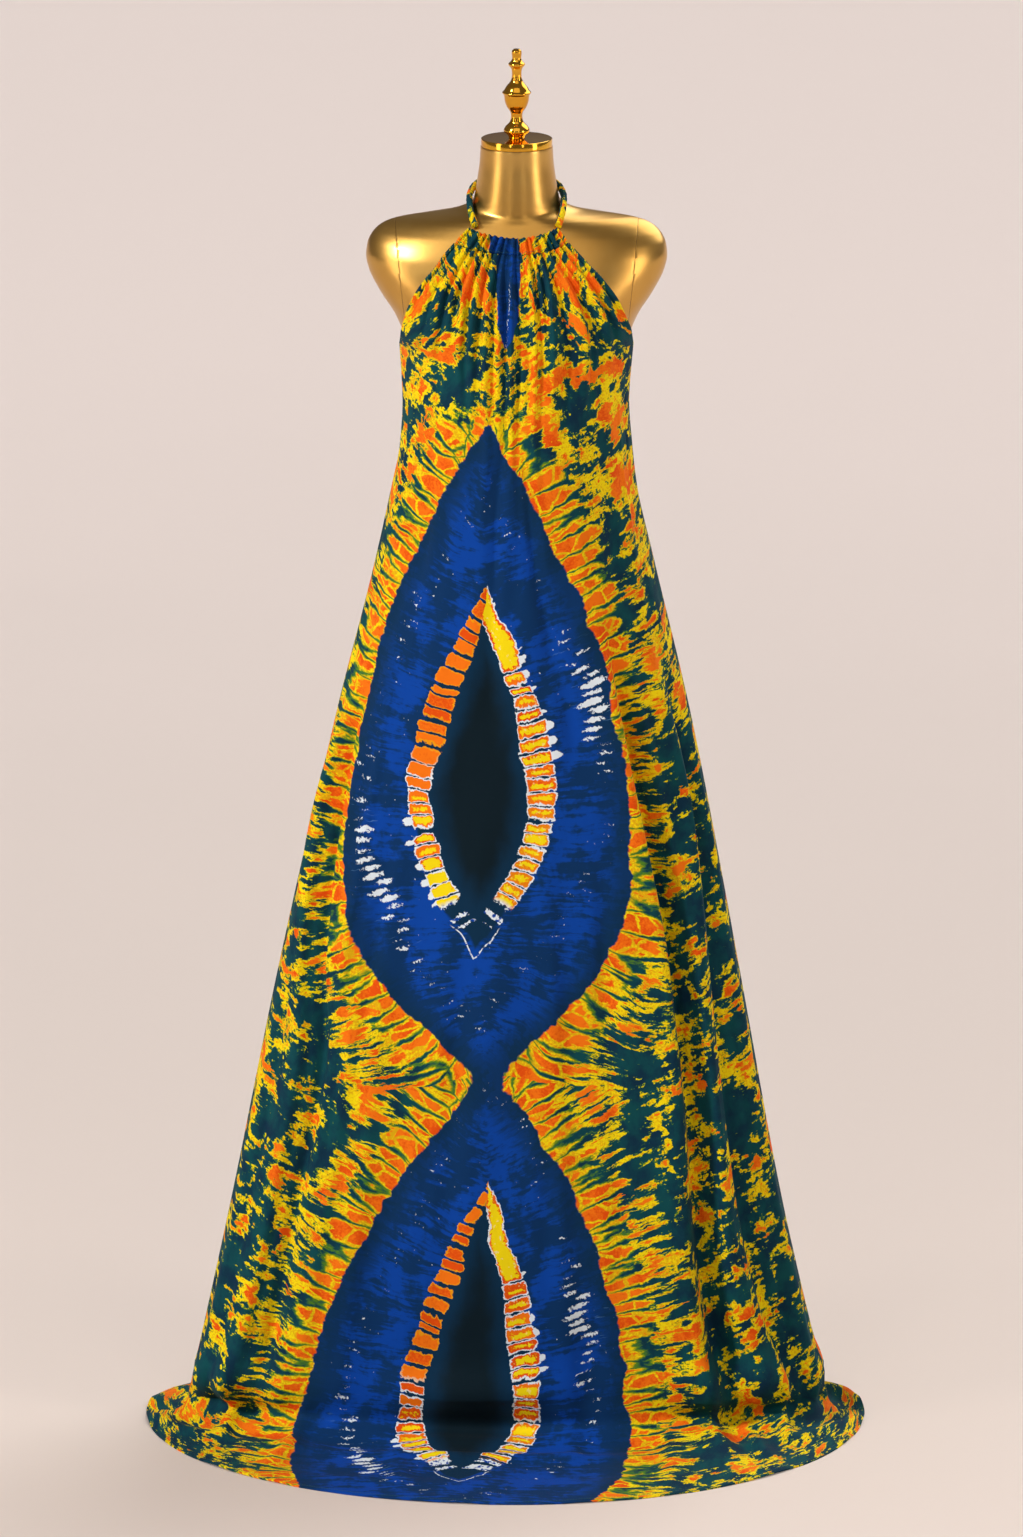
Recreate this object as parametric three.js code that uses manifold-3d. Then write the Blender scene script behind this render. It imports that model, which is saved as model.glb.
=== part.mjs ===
// A halter maxi dress standing on a limbless dress form.
// Millimetres, +Z up. The floor is z = 0, the stand's pole is the Z axis and the front faces -Y.
import * as THREE from 'three';
import Module from 'manifold-3d';
import { mergeVertices } from 'three/addons/utils/BufferGeometryUtils.js';

const { clamp, lerp, smoothstep } = THREE.MathUtils;

// ---------------------------------------------------------------------------------------------
// Driving dimensions
// ---------------------------------------------------------------------------------------------
const CLOTH_WALL = 2; // dress cloth, thickened to a rigid wall
const CASING_WALL = 3; // neck casing: the folded, gathered top of the front panel
const CASING_PUFF = 1.4; // the casing's middle stands this far off its two edges
const GAP = 0.3; // clearance left between neighbouring pieces
const SEAM_Y = 4; // the side seams hang in this plane
const UNDERARM_Z = 1441;
const BACK_TOP_DIP = 12; // the back panel's top edge is this much lower at its middle

const HEM = { left: 486, right: 457, front: 382, back: 234 }; // reach of the hem along the floor
const BREAK_RADIUS = { front: 62, side: 26, back: 40 }; // where the skirt turns onto the floor

const COLUMNS = { casing: 72, bib: 72, skirt: 46, back: 34, form: 32, strap: 10, finial: 20, disc: 32 };
const STEPS = { casing: 2, skirt: 17, backSkirt: 13, turn: 3, train: 3, backTrain: 2, strap: 30 };
// Rows of the chest, closest together below the casing, where the gathers change fastest.
const CHEST_ROWS = [0.001, 0.07, 0.14, 0.22, 0.31, 0.41, 0.52, 0.64, 0.76, 0.88, 1];
const NORMAL_STEP = 0.004; // step in u and v over which a surface's normal is taken

const STRAP = { width: 10.7, thickness: 8.4 };
const NECK_CAP = { radius: 45.5, bottom: 1694, top: 1704, bevel: 1.2 };
const POLE = { radius: 12.5, bottom: 12, top: 1052 };
const BASE = { radius: 150, rim: 5, height: 12, bevel: 2 };

// Half widths and depths of the dress below the arms, measured from the seam plane.
const DRESS_SECTIONS = [
  { z: 1441, left: 148, right: 147.5, front: 126, back: 102 },
  { z: 1362, left: 144, right: 142, front: 128, back: 105 },
  { z: 1310, left: 148, right: 146, front: 128, back: 108 },
  { z: 1257, left: 159, right: 153, front: 128, back: 112 },
  { z: 1152, left: 182, right: 177, front: 128, back: 118 },
  { z: 939, left: 235, right: 227, front: 128, back: 128 },
  { z: 617, left: 308, right: 288, front: 129, back: 140 },
  { z: 291, left: 374, right: 348, front: 129, back: 148 },
  { z: 0, left: 437, right: 415, front: 130, back: 152 },
];

// Armhole edge from the casing (along = 0) to the underarm (along = 1).
const ARMHOLE = [
  { along: 0, left: 79, right: 66, y: -69, z: 1581 },
  { along: 0.11, left: 93, right: 81, y: -76, z: 1566 },
  { along: 0.235, left: 107, right: 100, y: -79, z: 1545 },
  { along: 0.32, left: 118, right: 111, y: -80, z: 1532 },
  { along: 0.45, left: 131, right: 126.5, y: -76, z: 1510 },
  { along: 0.55, left: 138, right: 134, y: -68, z: 1493 },
  { along: 0.75, left: 145.5, right: 144.5, y: -43, z: 1464 },
  { along: 1, left: 148, right: 147.5, y: SEAM_Y, z: UNDERARM_Z },
];

// Middle of the front from the casing to the underarm level.
const CENTRE_FRONT = [
  { along: 0, y: -81, z: 1568 },
  { along: 0.25, y: -94, z: 1537 },
  { along: 0.5, y: -107, z: 1505 },
  { along: 0.75, y: -117, z: 1473 },
  { along: 1, y: SEAM_Y - 126, z: UNDERARM_Z },
];

// The neck casing: its top and bottom edges.
const CASING_EDGES = [
  { down: 0, left: 60, right: 51, endY: -57, endZ: 1599, y: -71, z: 1588 },
  { down: 1, left: 79, right: 66, endY: -69, endZ: 1581, y: -81, z: 1568 },
];

// Gathers below the casing. Places are fractions of the front's half width, height stands proud
// of the cloth and length is how far down the front the gather runs before it has died away.
const GATHERS = [
  { top: -0.9, low: -0.9, height: 1.6, width: 0.05, length: 150 },
  { top: -0.74, low: -0.7, height: 2.2, width: 0.045, length: 110 },
  { top: -0.585, low: -0.52, height: 3.2, width: 0.05, length: 170 },
  { top: -0.47, low: -0.42, height: 2.2, width: 0.035, length: 90 },
  { top: -0.39, low: -0.325, height: 3.4, width: 0.042, length: 190 },
  { top: -0.3, low: -0.26, height: 3.6, width: 0.038, length: 230 },
  { top: -0.208, low: -0.17, height: 3.8, width: 0.036, length: 330 },
  { top: -0.122, low: -0.1, height: 3, width: 0.032, length: 260 },
  { top: -0.035, low: -0.03, height: 3, width: 0.032, length: 280 },
  { top: 0.045, low: 0.035, height: 1.8, width: 0.026, length: 110 },
  { top: 0.117, low: 0.1, height: 3.6, width: 0.034, length: 300 },
  { top: 0.19, low: 0.15, height: 2, width: 0.026, length: 90 },
  { top: 0.262, low: 0.2, height: 3.8, width: 0.042, length: 240 },
  { top: 0.392, low: 0.4, height: 4.4, width: 0.046, length: 220 },
  { top: 0.5, low: 0.51, height: 2.4, width: 0.034, length: 90 },
  { top: 0.6, low: 0.585, height: 3, width: 0.042, length: 170 },
  { top: 0.73, low: 0.71, height: 2.6, width: 0.045, length: 130 },
  { top: 0.89, low: 0.89, height: 1.6, width: 0.05, length: 150 },
];
const GATHER_FADE_START = 0.3; // part of its length over which a gather keeps its full height
const GATHER_RISE = { from: 0.62, over: 55 }; // a gather swells below the casing's stitching
const GATHER_SPREAD = 90; // a gather moves from its top place to its low place over this length

// Folds of the skirt's front. A path gives the fold's place as an angle round the section
// (0 = middle, 90 = right seam) at each level; negative levels lie out on the floor.
const RIGHT_FOLD_PATH = [
  { level: 1290, angle: 28 },
  { level: 1059, angle: 32 },
  { level: 808, angle: 38 },
  { level: 646, angle: 41 },
  { level: 442, angle: 40 },
  { level: 192, angle: 37 },
  { level: 70, angle: 37.5 },
  { level: -140, angle: 41 },
];
const SIDE_FOLD_PATH = [
  { level: 1003, angle: 58 },
  { level: 850, angle: 61 },
  { level: 683, angle: 57.5 },
  { level: 587, angle: 54.5 },
  { level: 251, angle: 51 },
  { level: 93, angle: 54 },
];
const LEFT_FOLD_PATH = [
  { level: 982, angle: -62 },
  { level: 922, angle: -66 },
  { level: 750, angle: -62 },
  { level: 638, angle: -58 },
  { level: 490, angle: -50.5 },
  { level: 290, angle: -52 },
  { level: 100, angle: -53 },
];
const CENTRE_LEFT_PATH = [
  { level: 1460, angle: 0 },
  { level: 1392, angle: -2 },
  { level: 1326, angle: -7 },
  { level: 1235, angle: -10 },
  { level: 1053, angle: -9 },
];
const CENTRE_RIGHT_PATH = [
  { level: 1392, angle: 1 },
  { level: 1246, angle: 6 },
  { level: 1184, angle: 7.5 },
  { level: 1090, angle: 12 },
  { level: 940, angle: 19 },
];
const straight = (angle) => [{ level: 0, angle }, { level: 1, angle }];

const FRONT_FOLDS = [
  { path: CENTRE_LEFT_PATH, shift: 0, height: -5, left: 3.6, right: 3.2, top: 1470, bottom: 930 },
  { path: CENTRE_RIGHT_PATH, shift: 0, height: -4, left: 3.4, right: 3.6, top: 1400, bottom: 900 },
  { path: RIGHT_FOLD_PATH, shift: 0, height: 12, left: 9, right: 3.6, top: 1180, bottom: -130 },
  { path: RIGHT_FOLD_PATH, shift: 7, height: -17, left: 3.6, right: 4.4, top: 1130, bottom: 10 },
  { path: SIDE_FOLD_PATH, shift: 0, height: 10, left: 4.2, right: 5, top: 1120, bottom: -40 },
  { path: SIDE_FOLD_PATH, shift: 9.5, height: -9, left: 4, right: 5, top: 1080, bottom: 20 },
  { path: straight(76), shift: 0, height: 6, left: 5, right: 5, top: 980, bottom: 0 },
  { path: straight(48), shift: 0, height: -4, left: 4.5, right: 4.5, top: 1420, bottom: 1120 },
  { path: LEFT_FOLD_PATH, shift: 0, height: -9, left: 4, right: 5, top: 1080, bottom: 20 },
  { path: LEFT_FOLD_PATH, shift: -10, height: 8, left: 5, right: 4.5, top: 1060, bottom: -30 },
  { path: LEFT_FOLD_PATH, shift: 11, height: 6, left: 5, right: 8, top: 1000, bottom: -60 },
  { path: straight(-76), shift: 0, height: 5, left: 5, right: 5, top: 980, bottom: 0 },
  { path: straight(-27), shift: 0, height: -5, left: 6, right: 7, top: 900, bottom: 20 },
  { path: straight(-10), shift: 0, height: 5, left: 10, right: 10, top: 900, bottom: -150 },
  { path: straight(14), shift: 0, height: -5, left: 7, right: 7, top: 800, bottom: 20 },
  { path: straight(-44), shift: 0, height: -3, left: 4.5, right: 4.5, top: 1420, bottom: 1120 },
];

const BACK_FOLDS = [
  { path: straight(-70), shift: 0, height: 6, left: 6, right: 6, top: 1200, bottom: -20 },
  { path: straight(-55), shift: 0, height: -8, left: 6, right: 6, top: 1250, bottom: 20 },
  { path: straight(-39), shift: 0, height: 9, left: 6, right: 7, top: 1300, bottom: -30 },
  { path: straight(-21), shift: 0, height: -10, left: 6, right: 6, top: 1200, bottom: 20 },
  { path: straight(-4), shift: 0, height: 11, left: 7, right: 6, top: 1280, bottom: -50 },
  { path: straight(13), shift: 0, height: -9, left: 6, right: 7, top: 1150, bottom: 20 },
  { path: straight(30), shift: 0, height: 9, left: 7, right: 6, top: 1320, bottom: -30 },
  { path: straight(47), shift: 0, height: -9, left: 6, right: 6, top: 1200, bottom: 20 },
  { path: straight(64), shift: 0, height: 7, left: 6, right: 6, top: 1100, bottom: -20 },
];
const FOLD_BLEND = { most: 240, least: 60 }; // length over which a fold grows and dies away
const SEAM_FLAT = 9; // folds and gathers die away over this many degrees beside a seam
const FLOOR_SETTLE = 55; // hollows die away over this height above the floor

const BACK_GATHERS = { count: 14, height: 2.2, length: 150 };

// The dress form: half width, depth to front and back and roundness power of each section.
const FORM_SECTIONS = [
  { z: 1052, half: 126, front: 86, back: 80, power: 2.05 },
  { z: 1060, half: 138, front: 96, back: 90, power: 2.05 },
  { z: 1120, half: 142, front: 100, back: 97, power: 2.05 },
  { z: 1180, half: 134, front: 98, back: 90, power: 2.05 },
  { z: 1240, half: 123, front: 92, back: 75, power: 2.05 },
  { z: 1300, half: 118, front: 88, back: 67, power: 2.05 },
  { z: 1345, half: 122, front: 93, back: 70, power: 2.05 },
  { z: 1390, half: 130, front: 103, back: 78, power: 2.03 },
  { z: 1420, half: 135, front: 110, back: 83, power: 2 },
  { z: 1441, half: 140, front: 113, back: 86, power: 2 },
  { z: 1454, half: 145.5, front: 113.5, back: 88, power: 2 },
  { z: 1478, half: 156, front: 109, back: 90, power: 2.1 },
  { z: 1508, half: 175, front: 99, back: 90, power: 2.2 },
  { z: 1536, half: 189, front: 88.5, back: 87.5, power: 2.2 },
  { z: 1553, half: 192.5, front: 81, back: 84, power: 2.2 },
  { z: 1569, half: 190.5, front: 74.5, back: 79, power: 2.05 },
  { z: 1581, half: 185, front: 69, back: 74, power: 1.85 },
  { z: 1590, half: 177, front: 64.5, back: 70, power: 1.65 },
  { z: 1597, half: 166, front: 61, back: 66, power: 1.5 },
  { z: 1602, half: 150, front: 58.5, back: 63, power: 1.4 },
  { z: 1606, half: 124, front: 57, back: 61, power: 1.35 },
  { z: 1612, half: 84, front: 55, back: 58, power: 1.4 },
  { z: 1620, half: 61, front: 54, back: 55.5, power: 1.75 },
  { z: 1628, half: 54.5, front: 53, back: 53.5, power: 2 },
  { z: 1640, half: 52, front: 51.5, back: 52, power: 2 },
  { z: 1656, half: 49.5, front: 49.5, back: 49.5, power: 2 },
  { z: 1674, half: 47.2, front: 47.2, back: 47.2, power: 2 },
  { z: 1693.7, half: 46, front: 46, back: 46, power: 2 },
];
const SHOULDER_JOINT = { x: 150, z: 1550, lean: 0.1 }; // the caps meet the torso in this plane

// Middle line of the neck strap on the right, from the casing's end to the nape.
const STRAP_ROUTE = [
  { x: 53, y: -60, z: 1602.4 },
  { x: 57.5, y: -43, z: 1613.5 },
  { x: 60, y: -22, z: 1624 },
  { x: 59.3, y: 1, z: 1632 },
  { x: 51, y: 27, z: 1639 },
  { x: 29, y: 48.8, z: 1643.5 },
  { x: 0, y: 56.4, z: 1645 },
];

// Turned profile of the finial: height above the neck cap and radius.
const FINIAL_PROFILE = [
  { z: 0, r: 10 }, { z: 3, r: 11 }, { z: 9, r: 16.7 }, { z: 14.6, r: 14.4 }, { z: 20, r: 9.3 },
  { z: 25.6, r: 7.5 }, { z: 31, r: 7.5 }, { z: 34, r: 8.6 }, { z: 40, r: 12.6 }, { z: 47.5, r: 15.3 },
  { z: 55, r: 16.5 }, { z: 58.5, r: 18.5 }, { z: 61, r: 16.5 }, { z: 66, r: 13.5 }, { z: 73, r: 8 },
  { z: 78.6, r: 6.3 }, { z: 88.7, r: 6.8 }, { z: 95, r: 10.8 }, { z: 98.8, r: 7.5 },
  { z: 102.4, r: 5.9 }, { z: 111.6, r: 6.2 }, { z: 114.5, r: 4 }, { z: 115, r: 0 },
];

// ---------------------------------------------------------------------------------------------
// Curves through the tables
// ---------------------------------------------------------------------------------------------

/** Smooth function through one named column of a table, with no overshoot between its rows. */
function smoothColumn(table, key, name) {
  const rows = [...table].sort((a, b) => a[key] - b[key]);
  const x = rows.map((row) => row[key]);
  const y = rows.map((row) => row[name]);
  const last = x.length - 1;
  const slope = y.slice(1).map((value, i) => (value - y[i]) / (x[i + 1] - x[i]));
  const tangent = x.map((_, i) => {
    if (i === 0) return slope[0];
    if (i === last) return slope[last - 1];
    return slope[i - 1] * slope[i] <= 0 ? 0 : 2 / (1 / slope[i - 1] + 1 / slope[i]);
  });
  return (at) => {
    const value = clamp(at, x[0], x[last]);
    let i = 0;
    while (i < last - 1 && value > x[i + 1]) i += 1;
    const span = x[i + 1] - x[i];
    const t = (value - x[i]) / span;
    const rise = t * t * (3 - 2 * t);
    return y[i] * (1 - rise) + y[i + 1] * rise
      + span * t * (1 - t) * (tangent[i] * (1 - t) - tangent[i + 1] * t);
  };
}

/** One smooth function for each named column, gathered in an object. */
function smoothTable(table, key) {
  const names = Object.keys(table[0]).filter((name) => name !== key);
  return Object.fromEntries(names.map((name) => [name, smoothColumn(table, key, name)]));
}

/** Even list of count + 1 numbers from low to high. */
function spread(low, high, count) {
  return Array.from({ length: count + 1 }, (_, i) => lerp(low, high, i / count));
}

// ---------------------------------------------------------------------------------------------
// Closed solids
// ---------------------------------------------------------------------------------------------

function solidGeometry(points, triangles) {
  const geometry = new THREE.BufferGeometry();
  const numbers = points.flatMap((point) => point.toArray());
  geometry.setAttribute('position', new THREE.Float32BufferAttribute(numbers, 3));
  geometry.setIndex(triangles);
  return facingOut(geometry);
}

/** Turns a closed geometry's faces round if they point inwards. */
function facingOut(geometry) {
  const position = geometry.getAttribute('position');
  const index = geometry.getIndex();
  const corners = [new THREE.Vector3(), new THREE.Vector3(), new THREE.Vector3()];
  let volume = 0;
  for (let i = 0; i < index.count; i += 3) {
    corners.forEach((corner, k) => corner.fromBufferAttribute(position, index.getX(i + k)));
    volume += corners[0].dot(corners[1].clone().cross(corners[2]));
  }
  if (volume < 0) {
    for (let i = 0; i < index.count; i += 3) {
      const swapped = index.getX(i + 1);
      index.setX(i + 1, index.getX(i + 2));
      index.setX(i + 2, swapped);
    }
  }
  return geometry;
}

/** Triangles between two rows of vertices that may differ in number, matched by their u. */
function zipRows(upper, lower) {
  const triangles = [];
  let i = 0;
  let j = 0;
  while (i < upper.length - 1 || j < lower.length - 1) {
    const nextUpper = i < upper.length - 1 ? upper[i + 1].u : Infinity;
    const nextLower = j < lower.length - 1 ? lower[j + 1].u : Infinity;
    if (nextUpper <= nextLower) {
      triangles.push(upper[i].id, lower[j].id, upper[i + 1].id);
      i += 1;
    } else {
      triangles.push(upper[i].id, lower[j].id, lower[j + 1].id);
      j += 1;
    }
  }
  return triangles;
}

/**
 * A cloth wall. rows lists {v, columns}; wall(u, v) gives the outer and inner point there, and u
 * runs from -1 to 1 along every row.
 */
function clothSolid(rows, wall) {
  const points = [];
  const faces = { outer: [], inner: [] };
  for (const row of rows) {
    const line = { outer: [], inner: [] };
    for (const u of spread(-1, 1, row.columns)) {
      const pair = wall(u, row.v);
      for (const face of ['outer', 'inner']) {
        line[face].push({ u, id: points.length });
        points.push(pair[face]);
      }
    }
    faces.outer.push(line.outer);
    faces.inner.push(line.inner);
  }
  const triangles = [];
  for (let i = 0; i < rows.length - 1; i += 1) {
    triangles.push(...zipRows(faces.outer[i], faces.outer[i + 1]));
    triangles.push(...zipRows(faces.inner[i], faces.inner[i + 1]).reverse());
  }
  const rim = (outer, inner) => {
    for (let i = 0; i < outer.length - 1; i += 1) {
      triangles.push(outer[i].id, outer[i + 1].id, inner[i].id);
      triangles.push(inner[i].id, outer[i + 1].id, inner[i + 1].id);
    }
  };
  const side = (face, pick) => faces[face].map((line) => line[pick(line)]);
  const first = () => 0;
  const last = (line) => line.length - 1;
  rim(faces.outer[0], faces.inner[0]);
  rim(side('outer', last), side('inner', last));
  rim([...faces.outer.at(-1)].reverse(), [...faces.inner.at(-1)].reverse());
  rim(side('outer', first).reverse(), side('inner', first).reverse());
  return solidGeometry(points, triangles);
}

/** Closed loft through rings of equal length, with flat ends. */
function loftSolid(rings) {
  const size = rings[0].length;
  const points = rings.flat();
  const triangles = [];
  for (let i = 0; i < rings.length - 1; i += 1) {
    for (let j = 0; j < size; j += 1) {
      const next = (j + 1) % size;
      const [a, b] = [i * size + j, i * size + next];
      triangles.push(a, b, a + size, b, b + size, a + size);
    }
  }
  const close = (ring, start, turned) => {
    const middle = ring.reduce((sum, p) => sum.add(p), new THREE.Vector3()).divideScalar(size);
    points.push(middle);
    for (let j = 0; j < size; j += 1) {
      const edge = [start + j, start + ((j + 1) % size)];
      triangles.push(points.length - 1, ...(turned ? edge : edge.reverse()));
    }
  };
  close(rings[0], 0, false);
  close(rings.at(-1), (rings.length - 1) * size, true);
  return solidGeometry(points, triangles);
}

/** Solid of revolution about Z from a profile of {r, z} that starts and ends on the axis. */
function turnedSolid(profile, columns) {
  const outline = profile.map(({ r, z }) => new THREE.Vector2(r, z));
  const geometry = new THREE.LatheGeometry(outline, columns).rotateX(Math.PI / 2);
  geometry.deleteAttribute('normal');
  geometry.deleteAttribute('uv');
  const merged = mergeVertices(geometry, 1e-4);
  const index = merged.getIndex().array;
  const kept = [];
  for (let i = 0; i < index.length; i += 3) {
    const [a, b, c] = index.slice(i, i + 3);
    if (a !== b && b !== c && c !== a) kept.push(a, b, c);
  }
  merged.setIndex(kept);
  return facingOut(merged);
}

// ---------------------------------------------------------------------------------------------
// The dress's form: casing, front and back
// ---------------------------------------------------------------------------------------------

const dress = smoothTable(DRESS_SECTIONS, 'z');
const armhole = smoothTable(ARMHOLE, 'along');
const centreFront = smoothTable(CENTRE_FRONT, 'along');

const FRONT = { facing: -1, depth: dress.front, hem: HEM.front, turn: BREAK_RADIUS.front };
const BACK = { facing: 1, depth: dress.back, hem: HEM.back, turn: BREAK_RADIUS.back };

const halfOf = (sides, angle) => (angle < 0 ? sides.left : sides.right);

/** Point of the unfolded skirt on the section at height z. */
function skirtPoint(panel, angle, z) {
  const half = halfOf(dress, angle)(z);
  const depth = panel.depth(z);
  return new THREE.Vector3(half * Math.sin(angle), SEAM_Y + panel.facing * depth * Math.cos(angle), z);
}

/** Unfolded cloth surface. v: 0-1 chest, 1-2 skirt, 2-3 turn onto the floor, 3-4 floor. */
function panelPoint(panel, u, v) {
  const angle = (u * Math.PI) / 2;
  const ahead = Math.cos(angle);
  if (v < 1) {
    const edge = { y: armhole.y(v), z: armhole.z(v) };
    const centre = { y: centreFront.y(v), z: centreFront.z(v) };
    return new THREE.Vector3(
      halfOf(armhole, angle)(v) * Math.sin(angle),
      lerp(edge.y, centre.y, ahead),
      lerp(edge.z, centre.z, ahead ** 2),
    );
  }
  const radius = lerp(BREAK_RADIUS.side, panel.turn, ahead ** 2);
  const top = UNDERARM_Z - (panel === BACK ? BACK_TOP_DIP * ahead ** 2 : 0);
  const turnTop = radius + CLOTH_WALL;
  if (v <= 2) return skirtPoint(panel, angle, lerp(top, turnTop, v - 1));
  const start = skirtPoint(panel, angle, turnTop);
  const end = new THREE.Vector3(
    halfOf(HEM, angle) * Math.sin(angle),
    SEAM_Y + panel.facing * (panel.hem + panel.facing * -SEAM_Y) * ahead,
    turnTop,
  );
  const outward = end.clone().sub(start);
  const train = outward.length();
  outward.normalize();
  const roll = (clamp(v - 2, 0, 1) * Math.PI) / 2;
  const reach = v <= 3 ? radius * (1 - Math.cos(roll)) : lerp(radius, train, v - 3);
  const point = start.addScaledVector(outward, reach);
  point.z = CLOTH_WALL + radius * (1 - Math.sin(roll));
  return point;
}

/** Unit normal of the unfolded surface, pointing away from the body or up from the floor. */
function panelNormal(panel, u, v) {
  const [low, high] = panel === FRONT ? [0, 4] : [1, 4];
  const at = (du, dv) => panelPoint(panel, clamp(u + du, -1, 1), clamp(v + dv, low, high));
  const across = at(NORMAL_STEP, 0).sub(at(-NORMAL_STEP, 0));
  const down = at(0, NORMAL_STEP).sub(at(0, -NORMAL_STEP));
  return across.cross(down).normalize().multiplyScalar(panel.facing);
}

const seamFade = (angle) => smoothstep(90 - Math.abs(angle), 0, SEAM_FLAT);

/** Height of the folds at an angle round the section and a level above the floor. */
function foldHeight(folds, angle, level) {
  let height = 0;
  for (const fold of folds) {
    const offset = angle - fold.at(level) - fold.shift;
    const reach = offset < 0 ? fold.left : fold.right;
    const grown = 1 - smoothstep(level, fold.top - FOLD_BLEND.most, fold.top);
    const blend = clamp(-fold.bottom, FOLD_BLEND.least, FOLD_BLEND.most);
    const kept = smoothstep(level, fold.bottom, fold.bottom + blend);
    height += fold.height * grown * kept * Math.exp(-((offset / reach) ** 2));
  }
  return height < 0 ? height * clamp(level / FLOOR_SETTLE, 0, 1) : height;
}

const placed = (folds) => folds
  .map((fold) => ({ ...fold, at: smoothColumn(fold.path, 'level', 'angle') }));
const frontFolds = placed(FRONT_FOLDS);
const backFolds = placed(BACK_FOLDS);

/** Height of the gathers below the casing, drop millimetres down the front. */
function gatherHeight(u, drop) {
  let height = 0;
  for (const gather of GATHERS) {
    const fallen = clamp(drop / gather.length, 0, 1);
    const kept = 1 - smoothstep(fallen, GATHER_FADE_START, 1);
    const risen = lerp(GATHER_RISE.from, 1, smoothstep(drop, 0, GATHER_RISE.over));
    const place = lerp(gather.top, gather.low, smoothstep(drop, 0, GATHER_SPREAD));
    const offset = (u - place) / gather.width;
    height += gather.height * kept * risen * Math.exp(-(offset ** 2));
  }
  return height;
}

/** Height of the even gathers under the back's top edge. */
function backGatherHeight(u, drop) {
  const kept = 1 - smoothstep(drop, 0, BACK_GATHERS.length);
  return BACK_GATHERS.height * kept * (0.5 + 0.5 * Math.cos(u * BACK_GATHERS.count * Math.PI));
}

/** Level of a point along the cloth: its height, then minus its way out over the floor. */
function clothLevel(panel, u, v, point) {
  if (v <= 3) return point.z - CLOTH_WALL;
  return -point.distanceTo(panelPoint(panel, u, 3));
}

function panelWall(panel, folds, gathers) {
  return (u, v) => {
    const point = panelPoint(panel, u, v);
    const normal = panelNormal(panel, u, v);
    const level = clothLevel(panel, u, v, point);
    const drop = panelPoint(panel, 0, panel === FRONT ? 0 : 1).z - point.z;
    const height = (foldHeight(folds, u * 90, level) + gathers(u, drop)) * seamFade(u * 90);
    point.y += (panel.facing * GAP) / 2;
    return {
      outer: point.clone().addScaledVector(normal, height),
      inner: point.clone().addScaledVector(normal, height - CLOTH_WALL),
    };
  };
}

const rowsOf = (from, to, steps, columns) => spread(from, to, steps)
  .slice(1)
  .map((v) => ({ v, columns }));

function dressFront() {
  const rows = [
    ...CHEST_ROWS.map((v) => ({ v, columns: COLUMNS.bib })),
    ...rowsOf(1, 2, STEPS.skirt, COLUMNS.skirt),
    ...rowsOf(2, 3, STEPS.turn, COLUMNS.skirt),
    ...rowsOf(3, 4, STEPS.train, COLUMNS.skirt),
  ];
  return clothSolid(rows, panelWall(FRONT, frontFolds, gatherHeight));
}

function dressBack() {
  const rows = [
    { v: 1, columns: COLUMNS.back },
    ...rowsOf(1, 2, STEPS.backSkirt, COLUMNS.back),
    ...rowsOf(2, 3, STEPS.turn, COLUMNS.back),
    ...rowsOf(3, 4, STEPS.backTrain, COLUMNS.back),
  ];
  return clothSolid(rows, panelWall(BACK, backFolds, backGatherHeight));
}

/** Unpuffed surface of the neck casing, down = 0 at its top edge. */
function casingPoint(u, down) {
  const angle = (u * Math.PI) / 2;
  const [top, bottom] = CASING_EDGES;
  const between = (name) => lerp(top[name], bottom[name], down);
  const half = angle < 0 ? between('left') : between('right');
  const ahead = Math.cos(angle);
  return new THREE.Vector3(
    half * Math.sin(angle),
    lerp(between('endY'), between('y'), ahead),
    lerp(between('endZ'), between('z'), ahead ** 2),
  );
}

function neckCasing() {
  const depth = casingPoint(0, 0).distanceTo(casingPoint(0, 1));
  const wall = (u, v) => {
    const down = v * (1 - GAP / depth);
    const at = (du) => casingPoint(clamp(u + du, -1, 1), down);
    const across = at(NORMAL_STEP).sub(at(-NORMAL_STEP));
    const along = casingPoint(u, 1).sub(casingPoint(u, 0));
    const normal = across.cross(along).normalize().negate();
    const rounded = CASING_PUFF * Math.sin(Math.PI * v);
    const height = gatherHeight(u, 0) * seamFade(u * 90) + rounded;
    const point = casingPoint(u, down);
    return {
      outer: point.clone().addScaledVector(normal, height),
      inner: point.clone().addScaledVector(normal, height - CASING_WALL),
    };
  };
  const rows = spread(0, 1, STEPS.casing).map((v) => ({ v, columns: COLUMNS.casing }));
  return clothSolid(rows, wall);
}

// ---------------------------------------------------------------------------------------------
// The dress form and its stand
// ---------------------------------------------------------------------------------------------

const form = smoothTable(FORM_SECTIONS, 'z');

/** Point of the form's surface on the section at height z; angle 0 is the front. */
function formPoint(angle, z) {
  const [side, ahead] = [Math.sin(angle), Math.cos(angle)];
  const power = 2 / form.power(z);
  const depth = ahead > 0 ? -form.front(z) : form.back(z);
  return new THREE.Vector3(
    form.half(z) * Math.sign(side) * Math.abs(side) ** power,
    depth * Math.abs(ahead) ** power,
    z,
  );
}

function formLoft() {
  const rings = FORM_SECTIONS.map(({ z }) => spread(0, 2 * Math.PI, COLUMNS.form).slice(1)
    .map((angle) => formPoint(angle, z)));
  return loftSolid(rings);
}

const wasm = await Module();
wasm.setup();

function toManifold(geometry) {
  const bare = geometry.clone();
  bare.deleteAttribute('normal');
  bare.deleteAttribute('uv');
  const merged = mergeVertices(bare);
  return new wasm.Manifold(new wasm.Mesh({
    numProp: 3,
    vertProperties: merged.getAttribute('position').array,
    triVerts: new Uint32Array(merged.getIndex().array),
  }));
}

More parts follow.
